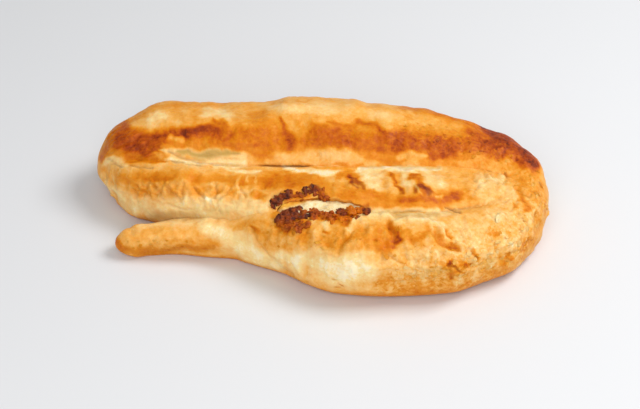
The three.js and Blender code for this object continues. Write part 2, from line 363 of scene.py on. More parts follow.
# Browning, from 0 for cream to 1 for scorched: strokes on the slanted plan, later ones over earlier ones.
# Each is what it browns, how brown, and the places that it runs through, with its half-width there in mm.
BAKE_STROKES = [
    (
        "back arm", 0.48,
        [
            (-103, 35, 7.6), (-86, 48, 8.5), (-57, 50.5, 9.5), (-10, 52.5, 9.5), (37, 49.5, 9.5),
            (70, 42, 8.5), (97, 28, 7.6),
        ],
    ),
    ("far rim, left", 0.52, [(-91, 50.5, 1.9), (-82, 55.5, 1.9), (-65, 58.5, 1.9), (-42, 59.5, 1.9)]),
    ("cream crown, left", 0.36, [(-86, 49, 2.4), (-76, 50.5, 3.8), (-68, 48.5, 2.4)]),
    ("palest crown, left", 0.2, [(-82, 50.5, 1.4), (-76, 51.5, 2.4), (-73, 50.5, 1.4)]),
    ("cream crown, second", 0.24, [(-56, 53, 1.9), (-49, 53.5, 2.8), (-44, 52, 2.4)]),
    ("golden crown", 0.44, [(-41, 57, 1.9), (-36, 53.5, 2.4)]),
    ("browned crown", 0.62, [(-34, 52.5, 1.9), (-29, 50.5, 3.8), (-24, 47.5, 3.8), (-31, 43.5, 3.8)]),
    ("cream crown, middle", 0.27, [(-24, 56.5, 1.9), (-14, 55, 2.4), (-1, 56, 3.3), (11, 55, 3.3)]),
    ("golden step of the crown", 0.46, [(-12, 50.5, 1.9), (-2, 51, 1.9), (8, 52, 1.9)]),
    ("cream crown, right", 0.39, [(11, 55.5, 2.4), (23, 54, 2.8), (32, 51.5, 2.8), (38, 50, 1.9)]),
    ("palest crown, right", 0.3, [(25, 53.5, 0.9), (28, 52.5, 1.9), (32, 50, 0.9)]),
    ("golden rim, right", 0.72, [(39, 57.5, 1.9), (52, 55, 2.8), (66, 51, 3.3), (77, 47, 2.8)]),
    ("pale flecks, right", 0.44, [(44, 50, 1.9), (54, 48, 2.4), (59, 46, 1.9)]),
    ("left end", 0.75, [(-105, 32, 1.6), (-103, 37, 3.1), (-99, 43.5, 3.1), (-94, 48, 2.6)]),
    (
        "browned side, left", 0.77,
        [(-99, 37.5, 5.2), (-85, 39, 6.3), (-71, 41, 4.7), (-54, 41.5, 4.7), (-38, 41, 5.7), (-26, 41, 5.2)],
    ),
    (
        "browned side, middle", 0.72,
        [(-38, 41, 5.2), (-26, 41, 5.2), (-15, 40.5, 4.7), (-5, 41, 5.2), (4, 41, 5.2)],
    ),
    (
        "browned side, right", 0.81,
        [(2, 41, 4.9), (18, 39.5, 5.5), (37, 39, 6), (55, 38, 6), (74, 38, 5.5), (88, 35.5, 4.4)],
    ),
    (
        "scorched fold", 0.92,
        [(-97, 42, 2.5), (-91, 38.5, 4.9), (-85, 35.5, 5.6), (-80, 36.5, 4.9), (-77, 39.5, 3.1)],
    ),
    ("scorched edge", 0.87, [(-93, 46, 2.5), (-89, 43, 3.1), (-85, 40, 3.1)]),
    (
        "dark streak", 0.92,
        [(-80, 42, 2.4), (-73, 42, 2.4), (-66, 43.5, 2.1), (-59, 44, 2.4), (-54, 45.5, 2.4), (-46, 43.5, 3)],
    ),
    ("darkest streak", 0.97, [(-67, 43, 0.9), (-63, 44, 1.4), (-57, 44.5, 1.2)]),
    ("golden below the streak", 0.63, [(-73, 37, 1.4), (-64, 38, 1.9), (-54, 39, 1.9)]),
    ("paler spot below the streak", 0.5, [(-71, 41, 1.2), (-66, 40.5, 1.4)]),
    ("drip, left", 0.77, [(-51, 49, 1.2), (-47, 47.5, 1.9), (-45, 43.5, 1.9)]),
    ("streak up the crown", 0.89, [(-19, 51.5, 0.8), (-18, 47.5, 1.4), (-17, 43, 2.9), (-15, 38.5, 2.6)]),
    ("golden gap past it", 0.55, [(-11, 49.5, 1.9), (-10, 44, 1.9)]),
    ("brown past the gap", 0.82, [(-4, 46, 2.8), (0, 43.5, 4), (6, 43, 2.8)]),
    ("brown wave of the crown", 0.75, [(3, 49, 0.9), (9, 47, 1.4), (13, 46, 1.4), (16, 49, 1.1)]),
    ("second wave of the crown", 0.8, [(16, 48.5, 1.1), (23, 47.5, 2), (29, 44.5, 2)]),
    ("dark end of the wave", 0.93, [(27, 44.5, 0.9), (30, 44, 0.9)]),
    ("deep brown side", 0.86, [(29, 41.5, 2.3), (35, 41, 4), (38, 37, 3.4)]),
    ("deep brown foot", 0.85, [(50, 33.5, 2.1), (56, 32, 3.1), (61, 34, 2.1)]),
    ("golden dapples, right", 0.57, [(59, 43.5, 1.9), (66, 44.5, 1.9), (72, 41.5, 1.4)]),
    ("brown rim, right", 0.85, [(68, 44.5, 2.4), (80, 40.5, 4.8), (91, 35.5, 5.4), (98, 27.5, 3.6)]),
    ("scorched rim", 0.96, [(77, 47, 1.9), (85, 43, 3.3), (91, 38, 4.3), (96, 33, 3.6), (100, 28.5, 1.9)]),
    ("brown below the rim", 0.84, [(81, 35, 2.4), (88, 32, 2.4), (94, 28, 1.9)]),
    ("golden foot, right", 0.48, [(62, 28.5, 2.4), (74, 28, 2.8), (85, 26, 3.3)]),
    ("golden side of the end", 0.5, [(86, 27, 2.8), (94, 22, 3.8), (100, 16.5, 3.8)]),
    ("golden foot, left", 0.65, [(-102, 34.5, 1.4), (-95, 34, 1.9)]),
    ("pale fold", 0.24, [(-102, 31, 1.9), (-97, 30, 2.8), (-92, 28, 1.9)]),
    ("brown drips to the fold", 0.73, [(-91, 32, 1.7), (-82, 30.5, 1.4), (-74, 30.5, 0.9)]),
    ("gold spot of the foot", 0.55, [(-77, 33.5, 1.4), (-73, 32.5, 1.4)]),
    (
        "cream foot, left", 0.27,
        [(-75, 36, 0.9), (-68, 35, 1.7), (-57, 34.5, 1.9), (-45, 34, 2.4), (-36, 33, 1.9)],
    ),
    (
        "cream foot, low", 0.14,
        [(-70, 31, 1.4), (-61, 29.5, 1.4), (-52, 29.5, 1.9), (-40, 29.5, 2.4), (-35, 30, 1.4)],
    ),
    ("browned foot", 0.66, [(-32, 34.5, 1.6), (-28, 33, 3.1), (-23, 35, 2.6)]),
    ("cream foot, middle", 0.36, [(-17, 31.5, 2.4), (-5, 32.5, 2.8), (9, 32, 3.3), (17, 32, 2.4)]),
    ("olive edge of the foot", 0.55, [(-10, 29.5, 0.7), (-1, 27.5, 0.9), (11, 27.5, 0.9), (19, 29.5, 0.7)]),
    ("browned foot, right", 0.65, [(22, 32, 2.4), (31, 31.5, 2.4), (37, 30.5, 1.4)]),
    ("golden foot past it", 0.4, [(35, 32.5, 1.4), (41, 33.5, 1.9), (48, 33, 0.9)]),
    ("orange foot", 0.6, [(46, 30, 1.4), (55, 29, 1.4), (62, 29.5, 1.4)]),
    (
        "middle arm", 0.4,
        [(-99, 21.5, 3.8), (-79, 19.5, 4.7), (-56, 19.5, 4.7), (-33, 18.5, 5.7), (-10, 20, 4.7)],
    ),
    (
        "middle arm, right", 0.42,
        [(4, 21, 5.7), (27, 19, 6.6), (49, 19, 6.6), (72, 17.5, 7.6), (86, 16.5, 5.7)],
    ),
    (
        "ridge, left", 0.61,
        [
            (-96, 21.5, 1.9), (-88, 22, 2.8), (-79, 22.5, 2.8), (-67, 23, 2.8), (-56, 22.5, 2.4),
            (-46, 22, 1.9),
        ],
    ),
    ("dark of the ridge", 0.71, [(-82, 21, 0.9), (-76, 21.5, 1.4), (-69, 22, 1.2)]),
    (
        "ridge, middle", 0.65,
        [(-44, 21, 1.9), (-35, 21, 2.8), (-24, 21, 3.8), (-12, 21, 3.8), (-2, 20, 2.8), (2, 18, 1.9)],
    ),
    ("dark of the ridge, middle", 0.73, [(-24, 19.5, 1.9), (-17, 22, 1.9), (-10, 19, 1.9)]),
    # Painted highlights: short pale stripes where light catches the middle arm's ridge.
    ("first painted highlight of the ridge", 0.38, [(-35, 24, 0.5), (-35, 20.5, 0.8)]),
    ("second painted highlight of the ridge", 0.38, [(-31, 24, 0.5), (-31, 20, 0.8)]),
    ("third painted highlight of the ridge", 0.46, [(-39, 23, 0.5), (-39, 19.5, 0.8)]),
    ("lip of the middle arm", 0.08, [(-18, 26.5, 0.9), (-10, 25.5, 1.4), (-1, 25, 1.7), (7, 25, 1.4)]),
    (
        "pale strip past the middle", 0.06,
        [(17, 26.5, 0.9), (27, 26.5, 1.4), (41, 26.5, 1.4), (55, 26, 0.9)],
    ),
    ("pale strip below the seam", 0.16, [(-49, 26.5, 0.9), (-38, 26, 0.9), (-28, 26.5, 0.7)]),
    ("crumpled side", 0.48, [(-89, 17, 2.4), (-75, 16, 3.3), (-58, 16, 3.3), (-45, 16.5, 2.8)]),
    ("pale left edge", 0.22, [(-103, 20.5, 1.4), (-100, 16, 2.8), (-93, 11, 2.4)]),
    ("pale low side", 0.2, [(-94, 9, 2.8), (-77, 8, 4.3), (-56, 8.5, 4.7), (-37, 8.5, 4.3), (-26, 9, 2.8)]),
    # A painted highlight: a white stroke where light catches a crumple.
    ("white crumple", 0.0, [(-54, 13, 0.9), (-51, 11.5, 1.7)]),
    ("cream by the golden patch", 0.22, [(-37, 16.5, 1.9), (-33, 14.5, 1.4)]),
    ("golden patch", 0.61, [(-31, 14.5, 1.4), (-27, 13.5, 1.9)]),
    ("golden lip past the tear", 0.61, [(3, 16.5, 2.7), (9, 15.5, 3.3), (18, 13.5, 2.2)]),
    ("brown smudge", 0.62, [(7, 22, 1.4), (11, 24, 2.4), (16, 24, 1.9)]),
    ("brown spot", 0.95, [(13, 23, 1.3), (14, 20, 1.6), (16, 18.5, 1.1)]),
    ("second stroke of the spot", 0.92, [(16, 22, 1.2), (18, 19, 1.5), (19, 17, 1.1)]),
    ("rosy fleck of the spot", 0.5, [(15, 19.5, 0.6), (17, 18, 0.7)]),
    ("cream top", 0.16, [(22, 24, 2.7), (24, 21, 4.9), (26, 17.5, 3.3)]),
    ("golden top", 0.42, [(30, 23, 1.9), (32, 19, 3.3)]),
    ("brown line of the top", 0.78, [(31, 24, 0.7), (33, 21.5, 0.9), (35, 18.5, 0.8)]),
    ("brown dash of the top", 0.84, [(36, 18.5, 0.8), (36, 16, 1)]),
    ("cream past the line", 0.2, [(37, 24, 1.4), (39, 20.5, 1.9)]),
    ("second brown spot", 0.82, [(41, 23.5, 1.1), (45, 22.5, 1.4), (44, 19.5, 1.7), (45, 17, 3.1)]),
    ("dark of the second spot", 0.97, [(41, 16.5, 1.2), (43, 18.5, 1.1), (46, 19, 1.1), (48, 16, 1.6)]),
    ("gap in the second spot", 0.4, [(42, 20.5, 0.8), (43, 15.5, 0.9)]),
    ("rosy foot of the spot", 0.46, [(40, 15, 1.4), (43, 14, 1.4)]),
    ("cream past the spot", 0.2, [(50, 24, 2.2), (51, 21, 3.3), (54, 19, 2.2)]),
    (
        "browned lip", 0.68,
        [(11, 15, 2.4), (21, 13.5, 2.8), (30, 12.5, 3.1), (40, 12, 3.3), (50, 12.5, 3.1), (61, 13.5, 2.8)],
    ),
    ("dark of the browned lip", 0.8, [(36, 12, 1.4), (42, 12.5, 1.9), (51, 12.5, 1.9), (61, 13.5, 1.7)]),
    ("pale spot of the lip", 0.36, [(52, 13.5, 0.9), (54, 13.5, 1.1)]),
    ("golden strip below the lip", 0.6, [(23, 10, 1.4), (35, 9, 1.4), (54, 9.5, 1.4)]),
    ("inner end", 0.31, [(72, 21, 3.8), (78, 16.5, 5.7), (84, 13, 4.3)]),
    ("golden start of the end", 0.48, [(66, 16.5, 1.9), (67, 12, 2.4)]),
    ("fold of the right end", 0.67, [(90, 17, 0.7), (92, 12.5, 1.2), (96, 8.5, 0.9)]),
    ("front arm", 0.45, [(-26, -3.5, 4.3), (-10, -5, 6.6), (12, -5.5, 6.6), (34, -4, 6.6), (52, -4, 5.7)]),
    (
        "right front", 0.26,
        [(34, -16, 6.6), (52, -12.5, 8.5), (70, -7.5, 10.4), (86, -0.5, 9.5), (97, 6.5, 5.7)],
    ),
    ("golden front, left", 0.46, [(-27, -2.5, 2.4), (-20, -4.5, 3.8), (-12, -5, 3.3), (-6, -2.5, 2.4)]),
    ("golden front, right", 0.61, [(13, -5.5, 2.8), (22, -4, 4.3), (27, -7.5, 3.8)]),
    ("dark fold", 0.72, [(30, 4, 0.9), (30, -0.5, 1.9), (31, -5.5, 2.8), (27, -9, 2.8)]),
    ("darkest of the fold", 0.86, [(33, -2, 0.9), (33, -5.5, 1.2), (31, -8, 0.9)]),
    ("golden past the fold", 0.56, [(36, -2, 1.9), (42, -5.5, 2.8), (45, -3, 1.9)]),
    ("yellow fold", 0.16, [(33, 3.5, 2.1), (39, 4.5, 2.1), (45, 3.5, 2.1), (51, 1, 1.9), (54, -2, 1.4)]),
    (
        "pale fold of the front", 0.16,
        [(11, -1, 1.2), (14, 2, 1.7), (18, 4.5, 1.9), (24, 5.5, 2.1), (30, 5, 1.7)],
    ),
    ("lip of the front arm", 0.2, [(25, 7, 1.2), (35, 6.5, 1.7), (49, 6, 1.7), (56, 6.5, 1.4)]),
    ("brown wedge", 0.66, [(38, -1.5, 0.7), (41, -4.5, 1.4), (43, -5, 0.9), (45, -2.5, 0.9)]),
    ("second dark fold", 0.66, [(47, -1.5, 1.2), (50, -5, 2.8), (55, -8.5, 1.9), (60, -10.5, 0.9)]),
    ("orange fleck of the fold", 0.66, [(51, -5, 0.9), (53, -4, 0.9)]),
    ("olive wedge of the low side", 0.5, [(26, -11, 0.9), (26, -16.5, 1.2)]),
    ("second olive wedge", 0.46, [(30, -12, 0.7), (34, -15, 0.7)]),
    ("olive line of the low side", 0.5, [(48, -8.5, 0.9), (48, -15.5, 0.7)]),
    ("brown fleck", 0.67, [(55, -2.5, 0.9), (57, -4.5, 0.9)]),
    ("olive spot", 0.79, [(1, -1.5, 0.7), (3, -2.5, 0.7)]),
    ("pale gap", 0.22, [(0, 2, 0.9), (2, 0.5, 1.4)]),
    ("golden flecks of the front", 0.59, [(8, -9, 1.2), (15, -9, 1.4), (21, -8.5, 1.4)]),
    (
        "low side of the front arm", 0.13,
        [(-20, -13, 2.3), (-10, -15.5, 4.7), (6, -19, 6.5), (19, -17, 5.3)],
    ),
    ("golden low side", 0.34, [(22, -13.5, 2.4), (30, -15, 2.8), (35, -18, 2.8)]),
    ("low edge of the front arm", 0.34, [(-5, -24.5, 1.4), (8, -27, 1.4), (26, -27, 1.4)]),
    ("browned low edge", 0.44, [(33, -27, 1.4), (46, -27, 1.4), (58, -25.5, 1.4)]),
    ("grainy low side", 0.34, [(34, -21.5, 2.4), (48, -22, 3.8), (62, -20, 4.3), (80, -15, 3.3)]),
    ("dark grains", 0.56, [(55, -17, 1.4), (59, -20, 1.9), (63, -16.5, 1.4)]),
    ("dark grains, right", 0.48, [(80, -14, 1.9), (87, -11.5, 1.9), (95, -5.5, 1.9)]),
    ("first pale patch", 0.24, [(52, -11, 1.2), (57, -12.5, 1.9), (63, -13, 1.2)]),
    ("second pale patch", 0.24, [(72, -10.5, 1.4), (77, -12, 1.9)]),
    ("third pale patch", 0.22, [(74, 5.5, 1.9), (81, 5.5, 2.4), (86, 6.5, 1.4)]),
    ("fourth pale patch", 0.25, [(60, 2, 2.4), (66, -2.5, 2.8)]),
    ("lying leaf of the end", 0.2, [(76, 22, 1.1), (80, 21, 1.1)]),
    ("standing leaf of the end", 0.2, [(83, 23.5, 1.1), (82, 20, 1.2)]),
    ("broad leaf of the end", 0.27, [(73, 18.5, 1.9), (77, 19, 1.9)]),
    ("broad leaf, right", 0.27, [(83, 15, 1.9), (87, 14, 1.9)]),
    ("golden rim of the end", 0.46, [(86, 25, 1.4), (89, 20, 1.4), (90, 16.5, 0.9)]),
    ("olive spot of the end", 0.66, [(87, 9.5, 0.8), (88, 8, 0.9)]),
    ("orange wedge of the end", 0.6, [(91, 12, 0.8), (95, 9, 1.4), (93, 7.5, 1.2)]),
    ("standing leaf, low", 0.2, [(78, 5, 0.9), (79, 1, 0.9)]),
    ("second standing leaf, low", 0.2, [(83, 5.5, 0.9), (84, 2, 1)]),
    ("golden hollow of the right", 0.44, [(75, -1.5, 1.9), (79, -3, 1.9)]),
    ("rosy leaf of the right", 0.26, [(71, -11, 1.9), (75, -14, 1.9)]),
    ("olive crease of the right", 0.6, [(67, -10, 0.6), (68, -14.5, 1)]),
    ("dark fleck of the right", 0.74, [(63, -16.5, 0.9), (65, -16.5, 0.9)]),
    ("first crack of the grains", 0.72, [(55, -17, 0.6), (58, -17.5, 0.7), (61, -19.5, 0.6)]),
    ("second crack of the grains", 0.72, [(57, -18, 0.6), (58, -23.5, 0.8)]),
    ("golden bottom, right", 0.5, [(72, -19.5, 1.2), (79, -18.5, 1.4), (84, -15.5, 1.2)]),
    ("right end", 0.46, [(99, 16.5, 3.3), (102, 9, 3.3), (100, 0, 3.3), (93, -8, 2.4)]),
    ("tail", 0.41, [(-90, -6.5, 4.3), (-78, -5.5, 5.2), (-64, -5, 5.2), (-53, -5.5, 4.3)]),
    # A painted highlight: a pale line where light catches the tail's upper edge.
    ("painted highlight along the tail's top", 0.26, [(-83, 0, 1.2), (-72, 2, 1.4), (-59, 2, 1.4), (-49, 3, 1.4)]),
    ("tip of the tail", 0.72, [(-95, -5.5, 1.4), (-94, -8.5, 1.7), (-92, -12, 1.2)]),
    (
        "low edge of the tail", 0.64,
        [(-91, -10.5, 1.7), (-86, -12.5, 2.1), (-74, -11, 1.9), (-60, -9.5, 1.7), (-50, -10, 1.2)],
    ),
    ("golden streak of the tail", 0.5, [(-71, -7, 0.9), (-64, -7, 1.4), (-53, -7.5, 1.2), (-45, -9, 0.7)]),
    (
        "root of the tail", 0.14,
        [(-53, -1.5, 2.6), (-44, -3.5, 4.2), (-37, -9, 4.7), (-27, -15, 4.2), (-19, -18, 2.6)],
    ),
    ("shoulder", 0.52, [(-40, 0, 1.7), (-32, 1.5, 1.9), (-25, 0, 2.4)]),
    ("dark of the shoulder", 0.71, [(-32, -0.5, 0.7), (-30, -2, 1.2)]),
    ("scorched skirt of the crags", 0.8, [(-19, 2, 2.2), (-14, 0.5, 2.7), (-8, 2, 2.2)]),
    (
        "orange skirt of the crags", 0.8,
        [(-4, 5, 1.4), (2, 4.5, 1.4), (8, 4.5, 2.8), (10, 2, 2.1), (14, 6.5, 1.9)],
    ),
    ("left of the crags", 0.42, [(-22, 7, 1.4), (-20, 8, 1.4)]),
    ("golden edge of the crags", 0.6, [(-22, 4, 1.2), (-20, 6, 1.4), (-18, 8, 1.2)]),
    ("yellow lip under the crags", 0.68, [(-16, 10.5, 1.2), (-12, 11.5, 1.2), (-6, 13, 1.2)]),
    ("brown of the upper lip", 0.84, [(-16, 14.5, 1.9), (-10, 14, 1.4)]),
    ("brown right of the upper lip", 0.82, [(-2, 15.5, 1.9), (2, 13, 1.4)]),
    ("brown rim of the tear", 0.78, [(5, 11, 0.6), (13, 10, 0.7), (20, 10, 0.7)]),
    ("orange right of the tear", 0.78, [(11, 7.5, 1.7), (15, 8, 1.9), (19, 8, 1.7)]),
]
# Burnt towards black: mostly where the filling boiled over, faintly where the crust is scorched. Along
# the tail's low edge it is painted shade, greying the brown there.
CHAR_STROKES = [
    # Painted shade: the tail's low edge greyed darker.
    (
        "low edge of the tail", 0.12,
        [(-91, -10.5, 1.7), (-86, -12.5, 2.1), (-74, -11, 1.9), (-60, -10, 1.9), (-50, -10.5, 1.4)],
    ),
    ("scorched rim", 0.1, [(82, 43.5, 2.4), (89, 39, 2.8), (95, 34, 2.8), (99, 29.5, 1.9)]),
    ("brown spot", 0.35, [(14, 22.5, 0.9), (14, 19.5, 1.1), (16, 18, 0.9)]),
    ("second stroke of the spot", 0.3, [(16, 21.5, 0.9), (18, 18.5, 1.1), (19, 17, 0.9)]),
    ("second brown spot", 0.4, [(41, 17, 1.1), (44, 19, 1), (46, 18.5, 1.1), (48, 16, 1.3)]),
    ("brown dash of the top", 0.25, [(36, 18, 0.8), (36, 16, 0.9)]),
    ("black heap", 0.6, [(-21, 2.5, 1.2), (-16, 4.5, 2.4), (-11, 7, 2.4), (-6, 6, 1.9)]),
    ("black heap, low", 0.3, [(-18, 1.5, 1.4), (-11, 1, 1.4)]),
    ("dark crumbs", 0.4, [(7, 6, 1.2), (12, 5.5, 1.4)]),
    ("dark end", 0.45, [(18, 8.5, 1.2), (21, 8, 1.2)]),
    ("black left end of the upper lip", 0.65, [(-22, 9, 0.6), (-21, 13, 1.7), (-17, 14, 1.9)]),
    ("brown edge of the upper lip", 0.2, [(-16, 14, 1.4), (-8, 13.5, 1.2)]),
    ("black middle of the upper lip", 0.6, [(-8, 15, 1.4), (-4, 16.5, 1.7), (-1, 16.5, 1.4)]),
    ("brown right end of the upper lip", 0.2, [(-1, 15, 1.7), (3, 13, 0.9)]),
]
# Strips where the leaf is still soft, oily and almost clear.
OILY_STROKES = [
    (
        "clear window of the foot", 0.9,
        [(-67, 34.5, 0.8), (-60, 34, 1.5), (-50, 34.5, 1.7), (-38, 34.5, 0.9)],
    ),
    ("clear window, low left", 0.5, [(-60, 32, 0.9), (-55, 31.5, 0.9)]),
    ("seam of the middle arm", 0.45, [(19, 27, 0.9), (32, 27.5, 1.2), (48, 27, 0.9), (55, 26.5, 0.7)]),
    ("low side of the middle arm", 0.35, [(-80, 4.5, 1.4), (-61, 5.5, 2.4), (-44, 6, 1.9)]),
    ("lip of the front arm", 0.4, [(30, 6.5, 1.2), (40, 5.5, 1.4), (51, 4.5, 1.2)]),
]
# Seams that have opened to a thin crack: there each seam's groove is deeper, and painted shade darkens it.
OPEN_SEAM_STROKES = [
    ("back and middle arms", 0.1, [(-56, 27, 4.7), (-38, 27.5, 5.7), (-10, 27, 5.7), (2, 27, 4.7)]),
    ("back and middle arms, open", 0.9, [(-25, 27.5, 3.8), (-17, 27.5, 4.3), (-9, 27, 3.8)]),
    ("back and middle arms, right", 0.25, [(55, 27, 3.8), (69, 25.5, 3.8), (83, 25, 3.8)]),
    ("middle and front arms", 0.45, [(20, 9, 3.8), (35, 8, 3.8), (40, 7.5, 3.8)]),
    ("middle and front arms, right", 0.4, [(57, 7, 3.8), (70, 7, 3.8)]),
]
PLAIN_BAKE = 0.4  # between the strokes
UNDERSIDE_BAKE = 0.6
UNDERSIDE_SLOPE = (0.2, 0.7)  # how far the crust faces down where that comes in, and where it is full
# What faces away from the front is browned by height, from near the tray to the crown, and mottled: how
# strongly, in patches of what size, and with which step of the seed.
HIDDEN_BAKE = (0.3, 0.58)
HIDDEN_HEIGHTS = (6, 30)
HIDDEN_MOTTLES = [(0.2, 13, 12), (0.1, 5, 13)]
# How much a leaf's own relief and fine mottles change its browning. The scales and fine mottles vary it at
# random; by the drapes and crumples, painted shade browns the hollows and what stands up is painted paler.
SCALE_CONTRAST = 0.3
DRAPE_HOLLOW_SHADE = 0.1
CRUMPLE_HOLLOW_SHADE = 0.14
FINE_MOTTLE = 0.05
FINE_MOTTLE_SIZE = 3.0
FRAYING = [(1.3, 8.0), (0.9, 2.6)]  # how far noise pushes the strokes' edges about, and its size

# How rumpled the leaf is: heights in mm of its drapes, crumples, gathers and scales.
PLAIN_RUMPLE = (0.15, 0.15, 0.05, 0.06)
HIDDEN_RUMPLE = (0.25, 0.35, 0.1, 0.1)
RUMPLE_STROKES = [
    (
        "crown of the back arm", (0.15, 0.12, 0.08, 0.05),
        [
            (-100, 40.5, 6.6), (-57, 53.5, 7.6), (-10, 54.5, 7.6), (42, 53, 7.6), (71, 48, 6.6),
            (89, 41.5, 6.6), (100, 30.5, 5.7),
        ],
    ),
    (
        "browned side of the back arm", (0.3, 0.25, 0.1, 0.1),
        [(-71, 41, 6.6), (-10, 40, 7.6), (37, 37, 7.6)],
    ),
    ("scorched fold", (0.2, 0.25, 0.5, 0.05), [(-99, 40.5, 3.8), (-90, 38, 6.6), (-78, 37, 4.7)]),
    ("browned side, right", (0.2, 0.25, 0.1, 0.22), [(37, 45, 6.6), (60, 40, 7.6), (93, 30.5, 5.7)]),
    ("foot of the back arm", (0.1, 0.12, 0.3, 0.0), [(-90, 29, 2.4), (-73, 31.5, 3.8), (-38, 30.5, 3.8)]),
    ("ridge of the middle arm", (0.3, 0.25, 0.1, 0.05), [(-99, 21.5, 2.8), (-56, 22, 3.8), (-10, 21, 4.7)]),
    (
        "side of the middle arm", (0.2, 0.9, 0.1, 0.1),
        [(-97, 15, 3.8), (-79, 15.5, 4.7), (-46, 14.5, 5.7), (-28, 14.5, 3.8)],
    ),
    (
        "low side of the middle arm", (0.2, 0.4, 0.1, 0.0),
        [(-90, 7.5, 2.4), (-65, 6.5, 3.3), (-27, 7.5, 3.8)],
    ),
    (
        "top of the middle arm, right", (0.35, 0.6, 0.1, 0.1),
        [(8, 19, 4.7), (36, 18.5, 6.6), (63, 17.5, 6.6)],
    ),
    ("inner end", (0.35, 0.5, 0.1, 0.2), [(72, 17.5, 7.6), (88, 15.5, 6.6)]),
    ("front arm", (0.6, 0.65, 0.1, 0.2), [(-23, -3.5, 4.7), (4, -4, 7.6), (34, -3, 8.5), (57, -4, 7.6)]),
    (
        "low side of the front arm", (0.6, 0.5, 0.1, 0.15),
        [(-23, -14, 2.8), (-1, -18, 6.6), (21, -19.5, 7.6)],
    ),
    (
        "right front", (0.4, 0.6, 0.05, 0.45),
        [(34, -19.5, 6.6), (56, -13.5, 9.5), (79, -5, 10.4), (94, 4.5, 6.6)],
    ),
    (
        "low edge of the right front", (0.3, 0.6, 0.05, 0.7),
        [(26, -26, 3.3), (48, -25.5, 3.8), (66, -22.5, 3.8), (82, -16.5, 3.8), (95, -8, 3.8)],
    ),
    ("right end", (0.2, 0.25, 0.1, 0.4), [(95, 21, 4.7), (100, 9.5, 4.7)]),
    ("tail", (0.15, 0.15, 0.05, 0.1), [(-93, -7.5, 4.7), (-51, -6.5, 6.6)]),
]
DRAPE_SIZE = (6.0, 26.0)  # of a fold, along the roll and around it
FINER_DRAPES = (2.4, 1.7)  # how many times smaller the folds within those are
DRAPE_HEIGHTS = (0.7, 0.4)  # of the folds and of those within them
GATHER_SIZE = (11.0, 1.7)
CRUMPLE_SIZE = 7.0
SCALE_SIZE = 3.0
DRIFT_SIZE = 9.0  # of the slow drift that bends the folds and the crumples
FOLD_DRIFT, CRUMPLE_DRIFT = 0.5, 0.2  # how far it bends them, as a share of their size
FLAKY_HEIGHT = 0.5  # of the scales where the leaf is flaky all over
RELIEF_SLOPE = (-0.9, -0.3)  # how far the crust faces up where the relief comes in, and where it is full
